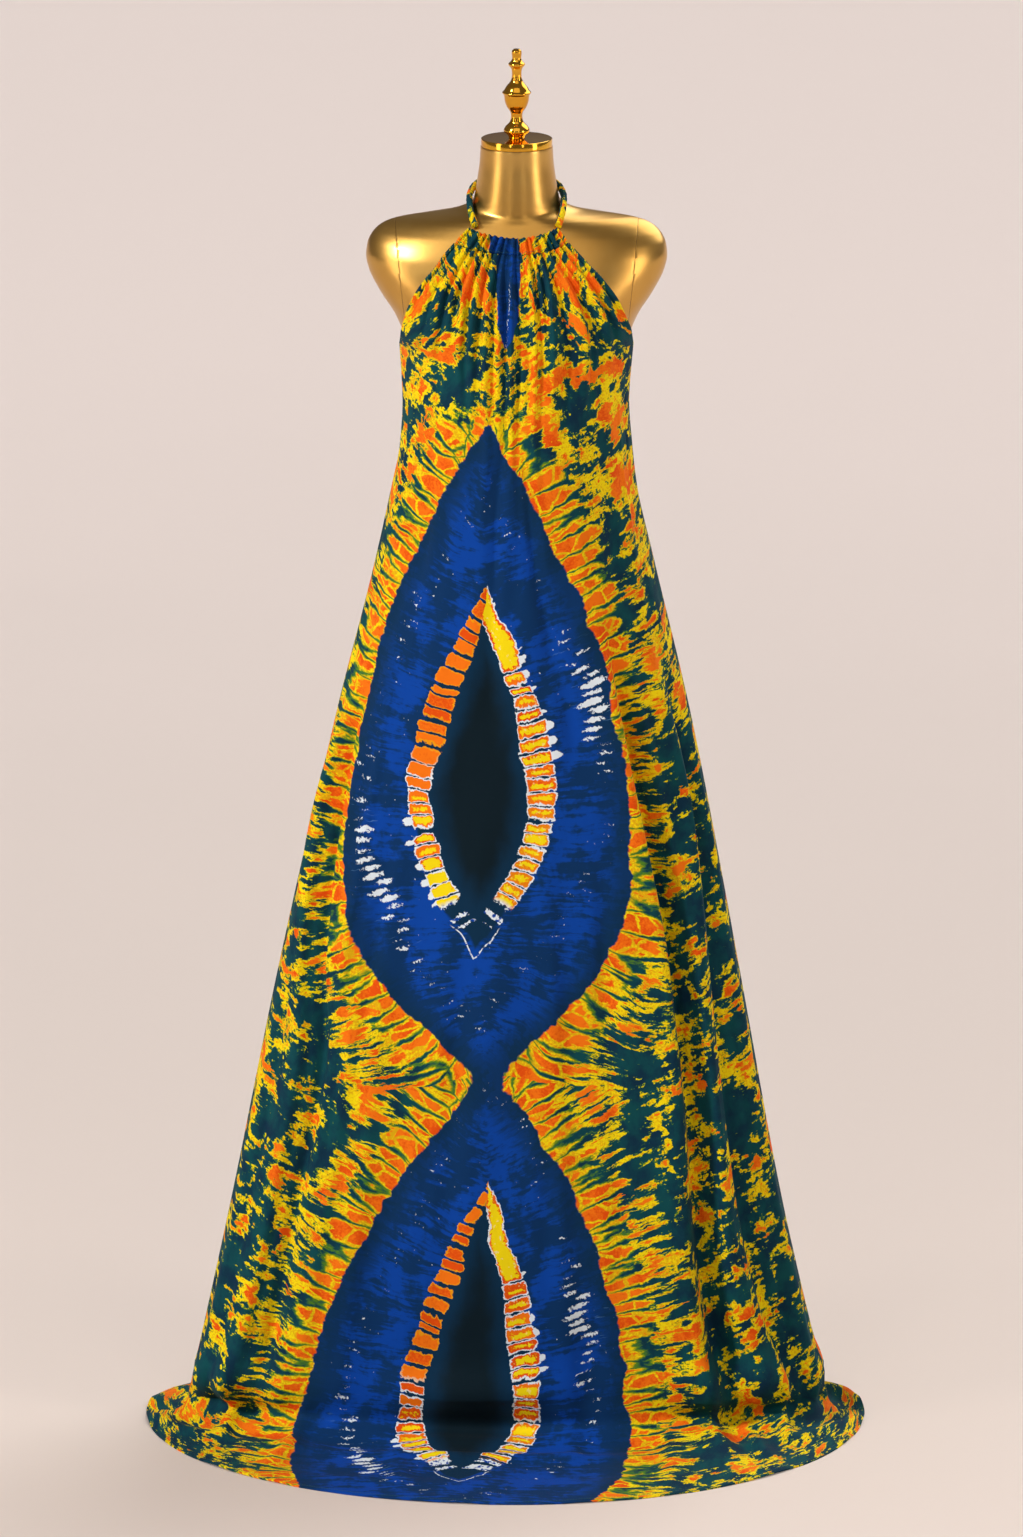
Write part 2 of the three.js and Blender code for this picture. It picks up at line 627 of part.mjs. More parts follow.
function fromManifold(solid) {
  const mesh = solid.getMesh();
  const geometry = new THREE.BufferGeometry();
  geometry.setAttribute('position', new THREE.BufferAttribute(mesh.vertProperties, mesh.numProp));
  geometry.setIndex(new THREE.BufferAttribute(mesh.triVerts, 1));
  return geometry;
}

/** Large block whose inner face is the joint plane of one shoulder, moved outwards by offset. */
function shoulderBlock(side, offset) {
  const reach = 400;
  const block = new THREE.BoxGeometry(reach, reach, reach);
  block.translate(reach / 2 + offset, 0, 0);
  block.rotateY(Math.atan(SHOULDER_JOINT.lean));
  block.scale(side, 1, 1);
  block.translate(side * SHOULDER_JOINT.x, 0, SHOULDER_JOINT.z);
  const indexed = mergeVertices(block.deleteAttribute('normal').deleteAttribute('uv'));
  return toManifold(facingOut(indexed));
}

/** The form cut into its torso and the two shoulder caps. */
function formPieces() {
  const whole = toManifold(formLoft());
  let torso = whole;
  for (const side of [-1, 1]) torso = torso.subtract(shoulderBlock(side, -GAP / 2));
  const cap = (side) => whole.intersect(shoulderBlock(side, GAP / 2));
  return {
    torso: fromManifold(torso),
    left: fromManifold(cap(-1)),
    right: fromManifold(cap(1)),
  };
}

/** The neck strap: one flat tube from the casing's left end round the neck to its right end. */
function halterStrap() {
  const side = (sign) => STRAP_ROUTE.map(({ x, y, z }) => new THREE.Vector3(sign * x, y, z));
  const route = new THREE.CatmullRomCurve3([...side(-1), ...side(1).reverse().slice(1)]);
  const rings = spread(0, 1, STEPS.strap).map((along) => {
    const centre = route.getPointAt(along);
    const forward = route.getTangentAt(along);
    const width = forward.clone().cross(centre.clone().setZ(0)).normalize();
    const depth = width.clone().cross(forward);
    return spread(0, 2 * Math.PI, COLUMNS.strap).slice(1).map((angle) => centre.clone()
      .addScaledVector(width, (STRAP.width / 2) * Math.cos(angle))
      .addScaledVector(depth, (STRAP.thickness / 2) * Math.sin(angle)));
  });
  return loftSolid(rings);
}

function neckCap() {
  const { radius, bottom, top, bevel } = NECK_CAP;
  return turnedSolid([
    { r: 0, z: bottom }, { r: radius, z: bottom }, { r: radius, z: top - bevel },
    { r: radius - bevel, z: top }, { r: 0, z: top },
  ], COLUMNS.disc);
}

function finial() {
  const foot = NECK_CAP.top + GAP;
  const profile = FINIAL_PROFILE.map(({ r, z }) => ({ r, z: foot + z }));
  return turnedSolid([{ r: 0, z: foot }, ...profile], COLUMNS.finial);
}

function standPole() {
  const { radius, bottom, top } = POLE;
  return turnedSolid([
    { r: 0, z: bottom + GAP }, { r: radius, z: bottom + GAP },
    { r: radius, z: top - GAP }, { r: 0, z: top - GAP },
  ], COLUMNS.finial);
}

function standBase() {
  const { radius, rim, height, bevel } = BASE;
  const socket = POLE.radius * 2;
  return turnedSolid([
    { r: 0, z: 0 }, { r: radius, z: 0 }, { r: radius, z: rim }, { r: radius - bevel, z: rim + bevel },
    { r: socket, z: height }, { r: 0, z: height },
  ], COLUMNS.disc);
}

// ---------------------------------------------------------------------------------------------
// The part
// ---------------------------------------------------------------------------------------------
const dyedCloth = new THREE.MeshStandardMaterial({ color: 0x1f5a5e, roughness: 0.75, metalness: 0 });
const satinGold = new THREE.MeshStandardMaterial({ color: 0xb98a35, roughness: 0.35, metalness: 1 });
const polishedBrass = new THREE.MeshStandardMaterial({ color: 0xd8a02c, roughness: 0.12, metalness: 1 });

function piece(name, geometry, material) {
  const mesh = new THREE.Mesh(geometry, material);
  mesh.name = name;
  return mesh;
}

const shell = formPieces();
const part = new THREE.Group();
part.add(
  piece('dress_front', dressFront(), dyedCloth),
  piece('dress_back', dressBack(), dyedCloth),
  piece('neck_casing', neckCasing(), dyedCloth),
  piece('halter_strap', halterStrap(), dyedCloth),
  piece('form_torso', shell.torso, satinGold),
  piece('form_shoulder_cap_left', shell.left, satinGold),
  piece('form_shoulder_cap_right', shell.right, satinGold),
  piece('neck_cap', neckCap(), polishedBrass),
  piece('finial', finial(), polishedBrass),
  piece('stand_pole', standPole(), satinGold),
  piece('stand_base', standBase(), satinGold),
);

export default part;
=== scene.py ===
"""A halter maxi dress of resist-dyed cotton on a limbless dress form.

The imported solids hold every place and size. This script lays thin cloth over the dress's solids,
dyes it, finishes the form, its finial and its stand, and sets a plain studio round them. Tables
are in millimetres and meshes in metres, with +Z up and the front facing -Y.
"""

import logging
import math
from dataclasses import dataclass, field
from enum import Enum
from typing import Callable, NamedTuple, Sequence, TypeAlias, TypeVar

import bmesh
import bpy
import numpy as np
from mathutils import Matrix, Vector


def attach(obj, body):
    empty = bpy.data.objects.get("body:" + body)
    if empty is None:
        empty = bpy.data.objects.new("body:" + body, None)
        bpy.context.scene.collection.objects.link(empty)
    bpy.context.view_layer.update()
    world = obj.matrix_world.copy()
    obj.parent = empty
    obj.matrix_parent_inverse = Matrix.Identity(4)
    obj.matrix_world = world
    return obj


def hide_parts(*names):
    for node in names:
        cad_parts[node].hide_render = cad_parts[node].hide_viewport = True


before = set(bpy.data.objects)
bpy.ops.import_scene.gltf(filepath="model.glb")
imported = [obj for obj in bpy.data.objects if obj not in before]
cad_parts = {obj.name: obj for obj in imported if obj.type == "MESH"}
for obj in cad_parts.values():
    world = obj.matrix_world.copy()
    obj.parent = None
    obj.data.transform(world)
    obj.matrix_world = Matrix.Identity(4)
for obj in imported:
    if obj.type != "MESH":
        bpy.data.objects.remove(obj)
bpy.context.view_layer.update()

log = logging.getLogger("dress")

MM = 0.001

# ---------------------------------------------------------------------------------------------
# Driving sizes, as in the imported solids
# ---------------------------------------------------------------------------------------------
CLOTH_WALL = 2.0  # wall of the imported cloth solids
CLOTH = 1.1  # the visible cloth, which keeps the solids' outer face
CLEAR_OF_FLOOR = 0.1
CASING_CLOTH = 2.4  # the casing's doubled cloth
CASING_PUFF = 1.4
GAP = 0.3
SEAM_Y = 4.0
UNDERARM_Z = 1441.0
BACK_TOP_DIP = 12.0
CHEST_DROP = 137.0  # cloth from the casing down to the underarm level, along the middle
NORMAL_STEP = 0.004
FOLD_BLEND_MOST, FOLD_BLEND_LEAST = 240.0, 60.0
SEAM_FLAT = 9.0
FLOOR_SETTLE = 55.0
GATHER_FADE_START = 0.3
GATHER_RISE_FROM, GATHER_RISE_OVER = 0.62, 55.0
GATHER_SPREAD = 90.0
STAND_OFF, STAND_OFF_RISE, STAND_OFF_FADE = 3.6, 30.0, (200.0, 420.0)  # of the gathered cloth
BACK_GATHER_COUNT, BACK_GATHER_HEIGHT, BACK_GATHER_LENGTH = 14, 2.2, 150.0
CASING_FULLNESS = 1.7  # flat cloth gathered into each length of the casing
CASING_STITCH, PINCH_REACH, PINCH_DEPTH = 0.9, 0.07, 0.7  # the stitches pinch the casing there
WAVES_NONE_ABOVE, WAVES_FULL_BELOW = 1440.0, 1200.0
HEM_ROLL, HEM_ROLL_DROP = 1.2, 0.7  # radius of the rolled hem and how far it hangs
EDGE_ROLL, TOP_ROLL_DROP = 1.1, 0.4
ROLL_ASIDE = np.array([0.013, 0.021, 1.0])  # nearly upright, and never along an edge
HEM_INSET, ARMHOLE_INSET, TOP_INSET = 9.0, 5.0, 6.0  # of the stitches from each edge
STRAP_FLAT_PLACE = (300.0, 500.0)  # where the strap was cut from the dyed cloth
STRAP_SPLINE_STEPS, FINIAL_SPLINE_STEPS = 24, 6


class Side(Enum):
    """The two large panels of the dress, by the way along Y that their right side faces."""

    FRONT = -1
    BACK = 1


class Section(NamedTuple):
    """Reach of the dress from the seam plane at one level below the arms."""

    z: float
    left: float
    right: float
    front: float
    back: float


class ArmholeRow(NamedTuple):
    """One place on the armhole edge, from the casing (0) to the underarm (1)."""

    along: float
    left: float
    right: float
    y: float
    z: float


class CentreRow(NamedTuple):
    """One place on the front's middle line above the underarm level."""

    along: float
    y: float
    z: float


class CasingEdge(NamedTuple):
    """The casing's top or bottom edge: its ends and its middle."""

    left: float
    right: float
    end_y: float
    end_z: float
    y: float
    z: float


class Gather(NamedTuple):
    """A gather below the casing; places and width are fractions of the half width."""

    top: float
    low: float
    height: float
    width: float
    length: float


class Fold(NamedTuple):
    """A fold down a panel: one angle, or a path of (level, angle) places, and its shape across."""

    path: Sequence[tuple[float, float]] | float
    shift: float
    height: float
    left: float
    right: float
    top: float
    bottom: float
    blend: float = FOLD_BLEND_MOST


class FormSection(NamedTuple):
    """One level of the dress form: half width, depths and the power of its roundness."""

    z: float
    half: float
    front: float
    back: float
    power: float


Row = TypeVar("Row")


def rows(kind: type[Row], *values: tuple[object, ...]) -> tuple[Row, ...]:
    """A table: one row of a kind for each tuple of its columns' values."""
    return tuple(kind(*row) for row in values)


DRESS_SECTIONS = rows(
    Section,
    (1441, 148, 147.5, 126, 102),
    (1362, 144, 142, 128, 105),
    (1310, 148, 146, 128, 108),
    (1257, 159, 153, 128, 112),
    (1152, 182, 177, 128, 118),
    (939, 235, 227, 128, 128),
    (617, 308, 288, 129, 140),
    (291, 374, 348, 129, 148),
    (0, 437, 415, 130, 152),
)
ARMHOLE = rows(
    ArmholeRow,
    (0, 79, 66, -69, 1581),
    (0.11, 93, 81, -76, 1566),
    (0.235, 107, 100, -79, 1545),
    (0.32, 118, 111, -80, 1532),
    (0.45, 131, 126.5, -76, 1510),
    (0.55, 138, 134, -68, 1493),
    (0.75, 145.5, 144.5, -43, 1464),
    (1, 148, 147.5, SEAM_Y, UNDERARM_Z),
)
CENTRE_FRONT = rows(
    CentreRow,
    (0, -81, 1568),
    (0.25, -94, 1537),
    (0.5, -107, 1505),
    (0.75, -117, 1473),
    (1, SEAM_Y - 126, UNDERARM_Z),
)
CASING_TOP = CasingEdge(60, 51, -57, 1599, -71, 1588)
CASING_BOTTOM = CasingEdge(79, 66, -69, 1581, -81, 1568)
HEM_REACH = {"left": 486.0, "right": 457.0, Side.FRONT: 382.0, Side.BACK: 234.0}
BREAK_RADIUS = {"side": 26.0, Side.FRONT: 62.0, Side.BACK: 40.0}

GATHERS = rows(
    Gather,
    (-0.9, -0.9, 1.6, 0.05, 150),
    (-0.74, -0.7, 2.2, 0.045, 110),
    (-0.585, -0.52, 3.2, 0.05, 170),
    (-0.47, -0.42, 2.2, 0.035, 90),
    (-0.39, -0.325, 3.4, 0.042, 190),
    (-0.3, -0.26, 3.6, 0.038, 230),
    (-0.208, -0.17, 3.8, 0.036, 330),
    (-0.122, -0.1, 3, 0.032, 260),
    (-0.035, -0.03, 3, 0.032, 280),
    (0.045, 0.035, 1.8, 0.026, 110),
    (0.117, 0.1, 3.6, 0.034, 300),
    (0.19, 0.15, 2, 0.026, 90),
    (0.262, 0.2, 3.8, 0.042, 240),
    (0.392, 0.4, 4.4, 0.046, 220),
    (0.5, 0.51, 2.4, 0.034, 90),
    (0.6, 0.585, 3, 0.042, 170),
    (0.73, 0.71, 2.6, 0.045, 130),
    (0.89, 0.89, 1.6, 0.05, 150),
)

# Ridges and narrow valleys of the gathers, finer than the solids hold.
RIDGES = rows(
    Gather,
    (-0.65, -0.6, 1.8, 0.025, 130),
    (-0.47, -0.42, 2.4, 0.020, 140),
    (-0.39, -0.325, 2.9, 0.022, 210),
    (-0.3, -0.26, 3, 0.021, 240),
    (-0.208, -0.17, 3.2, 0.018, 330),
    (-0.122, -0.1, 3, 0.016, 270),
    (-0.035, -0.03, 3.3, 0.018, 330),
    (0.117, 0.1, 3.2, 0.019, 310),
    (0.19, 0.15, 2.4, 0.016, 130),
    (0.262, 0.2, 3.2, 0.022, 250),
    (0.392, 0.4, 3.1, 0.022, 240),
    (0.5, 0.51, 2.4, 0.019, 140),
    (0.6, 0.585, 2.4, 0.022, 180),
    (0.73, 0.71, 1.8, 0.025, 130),
)
VALLEYS = rows(
    Gather,
    (-0.83, -0.8, -3.2, 0.021, 101),
    (-0.65, -0.6, -4.3, 0.021, 146),
    (-0.53, -0.465, -5.9, 0.025, 213),
    (-0.43, -0.37, -5.4, 0.020, 134),
    (-0.345, -0.29, -6.5, 0.021, 258),
    (-0.25, -0.215, -5.9, 0.018, 235),
    (-0.205, -0.194, -3.2, 0.014, 134),
    (-0.165, -0.135, -5.9, 0.017, 291),
    (-0.112, -0.068, -6.5, 0.017, 280),
    (-0.078, -0.05, -4.3, 0.013, 168),
    (-0.015, 0.003, -7, 0.020, 370),
    (0.045, 0.04, -4.9, 0.017, 190),
    (0.08, 0.07, -5.9, 0.018, 269),
    (0.155, 0.125, -6.5, 0.020, 291),
    (0.225, 0.175, -5.4, 0.018, 168),
    (0.325, 0.28, -7, 0.024, 269),
    (0.37, 0.33, -4.3, 0.017, 146),
    (0.45, 0.45, -6.5, 0.021, 235),
    (0.526, 0.507, -5.9, 0.021, 224),
    (0.66, 0.65, -4.9, 0.025, 168),
    (0.8, 0.79, -3.8, 0.025, 123),
)

RIGHT_FOLD_PATH = (
    (1290, 28), (1059, 32), (808, 38), (646, 41), (442, 40), (192, 37), (70, 37.5), (-140, 41),
)
SIDE_FOLD_PATH = ((1003, 58), (850, 61), (683, 57.5), (587, 54.5), (251, 51), (93, 54))
LEFT_FOLD_PATH = (
    (982, -62), (922, -66), (750, -62), (638, -58), (490, -50.5), (290, -52), (100, -53),
)
CENTRE_LEFT_PATH = ((1460, 0), (1392, -2), (1326, -7), (1235, -10), (1053, -9))
CENTRE_RIGHT_PATH = ((1392, 1), (1246, 6), (1184, 7.5), (1090, 12), (940, 19))

FRONT_FOLDS = rows(
    Fold,
    (CENTRE_LEFT_PATH, 0, -5, 3.6, 3.2, 1470, 930),
    (CENTRE_RIGHT_PATH, 0, -4, 3.4, 3.6, 1400, 900),
    (RIGHT_FOLD_PATH, 0, 12, 9, 3.6, 1180, -130),
    (RIGHT_FOLD_PATH, 7, -17, 3.6, 4.4, 1130, 10),
    (SIDE_FOLD_PATH, 0, 10, 4.2, 5, 1120, -40),
    (SIDE_FOLD_PATH, 9.5, -9, 4, 5, 1080, 20),
    (76, 0, 6, 5, 5, 980, 0),
    (48, 0, -4, 4.5, 4.5, 1420, 1120),
    (LEFT_FOLD_PATH, 0, -9, 4, 5, 1080, 20),
    (LEFT_FOLD_PATH, -10, 8, 5, 4.5, 1060, -30),
    (LEFT_FOLD_PATH, 11, 6, 5, 8, 1000, -60),
    (-76, 0, 5, 5, 5, 980, 0),
    (-27, 0, -5, 6, 7, 900, 20),
    (-10, 0, 5, 10, 10, 900, -150),
    (14, 0, -5, 7, 7, 800, 20),
    (-44, 0, -3, 4.5, 4.5, 1420, 1120),
)
BACK_FOLDS = rows(
    Fold,
    (-70, 0, 6, 6, 6, 1200, -20),
    (-55, 0, -8, 6, 6, 1250, 20),
    (-39, 0, 9, 6, 7, 1300, -30),
    (-21, 0, -10, 6, 6, 1200, 20),
    (-4, 0, 11, 7, 6, 1280, -50),
    (13, 0, -9, 6, 7, 1150, 20),
    (30, 0, 9, 7, 6, 1320, -30),
    (47, 0, -9, 6, 6, 1200, 20),
    (64, 0, 7, 6, 6, 1100, -20),
)

# Creases finer than the solids hold, laid over the folds.
FRONT_CREASES = rows(
    Fold,
    (RIGHT_FOLD_PATH, 5.4, -11, 1.5, 2.2, 1120, 30, 200),
    (RIGHT_FOLD_PATH, 1.0, 4, 3.0, 1.4, 1120, -60, 200),
    (RIGHT_FOLD_PATH, 12.5, 5, 1.8, 2.2, 1080, -20, 200),
    (SIDE_FOLD_PATH, 7.5, -6, 1.8, 2.4, 1060, 30, 200),
    (LEFT_FOLD_PATH, 0.5, -6, 1.8, 2.2, 1060, 30, 200),
    (LEFT_FOLD_PATH, -6.5, 4.5, 2.4, 1.6, 1040, -20, 200),
    (((900, -13), (300, -14.5), (40, -15)), 0, -5, 2.6, 3.2, 820, 20, 240),
    (((800, 9), (100, 10)), 0, 4, 3.4, 2.2, 860, -60, 240),
    (((760, 24), (60, 22)), 0, -5, 2.6, 2.2, 820, 20, 240),
    (((700, -38), (60, -40)), 0, -5, 2.2, 2.8, 860, 20, 240),
    (((1000, -47), (100, -46.5)), 0, 4, 2.6, 2.0, 1080, -20, 240),
    (CENTRE_LEFT_PATH, 0.8, -1.6, 1.3, 0.9, 1500, 1120, 120),
    (CENTRE_RIGHT_PATH, -0.6, -1.4, 1.0, 1.4, 1440, 1060, 120),
    (CENTRE_LEFT_PATH, -6, 1.2, 1.6, 1.6, 1440, 1180, 120),
    (CENTRE_RIGHT_PATH, 5, 1.2, 1.6, 1.6, 1430, 1130, 120),
    (RIGHT_FOLD_PATH, 3.6, -2.4, 1.2, 1.0, 1010, 60, 180),
    (RIGHT_FOLD_PATH, 11.5, 2.2, 1.2, 1.4, 940, 60, 180),
    (SIDE_FOLD_PATH, 1.5, 2.0, 1.0, 0.9, 980, 80, 180),
    (SIDE_FOLD_PATH, 6.2, -1.8, 1.0, 1.3, 900, 90, 180),
    (SIDE_FOLD_PATH, -5.5, 1.6, 1.3, 1.1, 860, 110, 180),
    (LEFT_FOLD_PATH, 3.2, 2.2, 1.1, 1.4, 960, 60, 180),
    (LEFT_FOLD_PATH, -4.6, -1.8, 1.3, 1.0, 920, 60, 180),
    (LEFT_FOLD_PATH, 7.4, -1.6, 1.6, 1.3, 840, 70, 180),
    (-33, 0, 1.8, 1.8, 1.4, 620, 20, 160),
    (-19, 0, -1.6, 1.5, 2.0, 520, -20, 160),
    (4, 0, 1.6, 2.2, 1.6, 470, -40, 160),
    (22, 0, 1.5, 1.7, 1.9, 560, -30, 160),
    (68, 0, -1.6, 1.3, 1.3, 700, 50, 160),
    (-69, 0, -1.6, 1.3, 1.3, 760, 40, 160),
    (64, 0, 1.2, 1.2, 1.0, 1430, 1180, 100),
    (72, 0, -1.2, 1.0, 1.2, 1440, 1150, 100),
    (-63, 0, 1.2, 1.2, 1.0, 1430, 1180, 100),
    (-72, 0, -1.2, 1.0, 1.2, 1440, 1150, 100),
    (((60, -62), (-60, -56)), 0, 9, 2.4, 2.0, 130, -50, 80),
    (((60, -70), (-60, -66)), 0, -4.0, 1.8, 2.2, 120, -40, 80),
    (((60, -40), (-120, -44)), 0, 7, 1.8, 2.4, 90, -120, 80),
    (((60, 60), (-60, 55)), 0, 10, 2.2, 2.6, 140, -50, 80),
    (((60, 69), (-60, 66)), 0, -4.5, 2.0, 1.8, 130, -40, 80),
    (((60, 46), (-120, 49)), 0, 8, 1.6, 2.2, 100, -110, 80),
    (((60, 30), (-160, 26)), 0, 5, 2.0, 2.4, 60, -170, 80),
    (((60, -22), (-160, -18)), 0, 4.5, 2.4, 2.0, 50, -170, 80),
)
BACK_CREASES = rows(
    Fold,
    (-62, 0, 3.4, 1.8, 1.4, 1000, 60, 160),
    (-46, 0, -4.2, 1.9, 2.3, 1100, 60, 160),
    (-30, 0, 1.6, 1.3, 1.6, 980, 40, 160),
    (-12, 0, -4.4, 2.2, 1.8, 1060, 30, 160),
    (5, 0, 1.8, 1.2, 1.5, 940, 20, 160),
    (21, 0, -4.0, 1.8, 2.2, 1020, 40, 160),
    (38, 0, 3.6, 2.3, 1.6, 1080, 60, 160),
    (56, 0, -1.6, 1.2, 1.5, 960, 60, 160),
)

FORM_SECTIONS = rows(
    FormSection,
    (1052, 126, 86, 80, 2.05),
    (1060, 138, 96, 90, 2.05),
    (1120, 142, 100, 97, 2.05),
    (1180, 134, 98, 90, 2.05),
    (1240, 123, 92, 75, 2.05),
    (1300, 118, 88, 67, 2.05),
    (1345, 122, 93, 70, 2.05),
    (1390, 130, 103, 78, 2.03),
    (1420, 135, 110, 83, 2),
    (1441, 140, 113, 86, 2),
    (1454, 145.5, 113.5, 88, 2),
    (1478, 156, 109, 90, 2.1),
    (1508, 175, 99, 90, 2.2),
    (1536, 189, 88.5, 87.5, 2.2),
    (1553, 192.5, 81, 84, 2.2),
    (1569, 190.5, 74.5, 79, 2.05),
    (1581, 185, 69, 74, 1.85),
    (1590, 177, 64.5, 70, 1.65),
    (1597, 166, 61, 66, 1.5),
    (1602, 150, 58.5, 63, 1.4),
    (1606, 124, 57, 61, 1.35),
    (1612, 84, 55, 58, 1.4),
    (1620, 61, 54, 55.5, 1.75),
    (1628, 54.5, 53, 53.5, 2),
    (1640, 52, 51.5, 52, 2),
    (1656, 49.5, 49.5, 49.5, 2),
    (1674, 47.2, 47.2, 47.2, 2),
    (1693.7, 46, 46, 46, 2),
)
SHOULDER_JOINT_X, SHOULDER_JOINT_Z, SHOULDER_JOINT_LEAN = 150.0, 1550.0, 0.1
STRAP_ROUTE = (
    (53, -60, 1602.4), (57.5, -43, 1613.5), (60, -22, 1624), (59.3, 1, 1632),
    (51, 27, 1639), (29, 48.8, 1643.5), (0, 56.4, 1645),
)
STRAP_WIDTH, STRAP_THICKNESS = 10.7, 8.4
NECK_CAP_RADIUS, NECK_CAP_BOTTOM, NECK_CAP_TOP = 45.5, 1694.0, 1704.0
FINIAL_PROFILE = (
    (0, 10), (3, 11), (9, 16.7), (14.6, 14.4), (20, 9.3), (25.6, 7.5), (31, 7.5), (34, 8.6),
    (40, 12.6), (47.5, 15.3), (55, 16.5), (58.5, 18.5), (61, 16.5), (66, 13.5), (73, 8),
    (78.6, 6.3), (88.7, 6.8), (95, 10.8), (98.8, 7.5), (102.4, 5.9), (111.6, 6.2), (114.5, 4),
    (115, 0),
)


# ---------------------------------------------------------------------------------------------
# Curves and meshes
# ---------------------------------------------------------------------------------------------
class Curve:
    """A smooth function through a table's rows that never overshoots between them."""

    def __init__(self, places: Sequence[float], values: Sequence[float]) -> None:
        """Keep the rows in order and work out the tangent at each.

        Args:
            places: where each row lies.
            values: the function's value there.
        """
        order = np.argsort(places)
        self.x = np.asarray(places, float)[order]
        self.y = np.asarray(values, float)[order]
        slope = np.diff(self.y) / np.diff(self.x)
        self.tangent = np.concatenate([slope[:1], np.zeros(len(slope) - 1), slope[-1:]])
        before, after = slope[:-1], slope[1:]
        rising = before * after > 0
        both = before[rising] + after[rising]
        self.tangent[1:-1][rising] = 2 * before[rising] * after[rising] / both

    def __call__(self, at: np.ndarray | float) -> np.ndarray:
        """The function's value at each place."""
        value = np.clip(at, self.x[0], self.x[-1])
        i = np.clip(np.searchsorted(self.x, value, side="left") - 1, 0, len(self.x) - 2)
        span = self.x[i + 1] - self.x[i]
        t = (value - self.x[i]) / span
        rise = t * t * (3 - 2 * t)
        bend = self.tangent[i] * (1 - t) - self.tangent[i + 1] * t
        return self.y[i] * (1 - rise) + self.y[i + 1] * rise + span * t * (1 - t) * bend


def curves(rows: Sequence[NamedTuple]) -> dict[str, Curve]:
    """A curve for each column of a table after its first, which gives the places."""
    names = rows[0]._fields
    columns = np.array(rows, float).T
    return {name: Curve(columns[0], column) for name, column in zip(names[1:], columns[1:])}


def smoothstep(value: np.ndarray, low: float, high: float) -> np.ndarray:
    """Rise from 0 at low to 1 at high with level ends."""
    t = np.clip((value - low) / (high - low), 0, 1)
    return t * t * (3 - 2 * t)


def lerp(a: np.ndarray | float, b: np.ndarray | float, t: np.ndarray | float) -> np.ndarray:
    """The value a part t of the way from a to b."""
    return a + (b - a) * t


def unit(vectors: np.ndarray) -> np.ndarray:
    """The vectors scaled to length one."""
    return vectors / np.linalg.norm(vectors, axis=-1, keepdims=True)


def together(*parts: np.ndarray | float) -> np.ndarray:
    """Points whose coordinates are the parts, over the grid that the parts span."""
    return np.stack(np.broadcast_arrays(*parts), axis=-1)


def turns(count: int) -> np.ndarray:
    """That many angles at even steps round a circle."""
    return np.linspace(0, 2 * np.pi, count, endpoint=False)


def neighbours(places: np.ndarray, low: float, high: float) -> tuple[np.ndarray, np.ndarray]:
    """Places a small step before and after these, kept within bounds."""
    return np.clip(places - NORMAL_STEP, low, high), np.clip(places + NORMAL_STEP, low, high)


def arcs(points: np.ndarray) -> np.ndarray:
    """Length along each row of a grid of points, from 0 at the row's first."""
    steps = np.linalg.norm(np.diff(points, axis=1), axis=-1)
    return np.concatenate([np.zeros((len(points), 1)), np.cumsum(steps, axis=1)], axis=1)


def tube_axes(centres: np.ndarray, aside: np.ndarray) -> tuple[np.ndarray, np.ndarray]:
    """Two unit vectors across a tube at each of its centres, the first square to aside."""
    forward = unit(np.gradient(centres, axis=0))
    width = unit(np.cross(forward, aside))
    return width[:, None, :], np.cross(width, forward)[:, None, :]


def catmull(points: np.ndarray, steps: int) -> np.ndarray:
    """Centripetal spline through points.

    Args:
        points: the places passed, one a row.
        steps: straight pieces between two neighbouring places.

    Returns:
        The spline's points, from the first place to the last.
    """
    ends = np.vstack([2 * points[0] - points[1], points, 2 * points[-1] - points[-2]])
    out = []
    for p0, p1, p2, p3 in zip(ends, ends[1:], ends[2:], ends[3:]):
        d0, d1, d2 = (math.sqrt(np.linalg.norm(b - a)) for a, b in ((p0, p1), (p1, p2), (p2, p3)))
        m1 = d1 * ((p1 - p0) / d0 - (p2 - p0) / (d0 + d1) + (p2 - p1) / d1)
        m2 = d1 * ((p2 - p1) / d1 - (p3 - p1) / (d1 + d2) + (p3 - p2) / d2)
        t = np.arange(steps)[:, None] / steps
        curve = p1 + m1 * t + (3 * (p2 - p1) - 2 * m1 - m2) * t**2
        out.append(curve + (2 * (p1 - p2) + m1 + m2) * t**3)
    return np.vstack([*out, points[-1:]])


def even_along(points: np.ndarray, count: int) -> np.ndarray:
    """count + 1 points at even distances along a polyline."""
    steps = np.linalg.norm(np.diff(points, axis=0), axis=1)
    along = np.concatenate([[0], np.cumsum(steps)])
    places = np.linspace(0, along[-1], count + 1)
    return np.column_stack([np.interp(places, along, column) for column in points.T])


def outward(points: np.ndarray, faces: list[tuple[int, ...]]) -> list[tuple[int, ...]]:
    """The faces of a closed mesh, turned round if they enclose it inside out."""
    volume = 0.0
    for size in {len(face) for face in faces}:
        block = np.array([face for face in faces if len(face) == size])
        for k in range(1, size - 1):
            a, b, c = (points[block[:, i]] for i in (0, k, k + 1))
            volume += np.einsum("ij,ij->", a, np.cross(b, c))
    return faces if volume > 0 else [tuple(reversed(face)) for face in faces]


def add_object(name: str, data: bpy.types.ID) -> bpy.types.Object:
    """Put a mesh, a lamp or a camera in the scene under a name."""
    made = bpy.data.objects.new(name, data)
    bpy.context.scene.collection.objects.link(made)
    return made


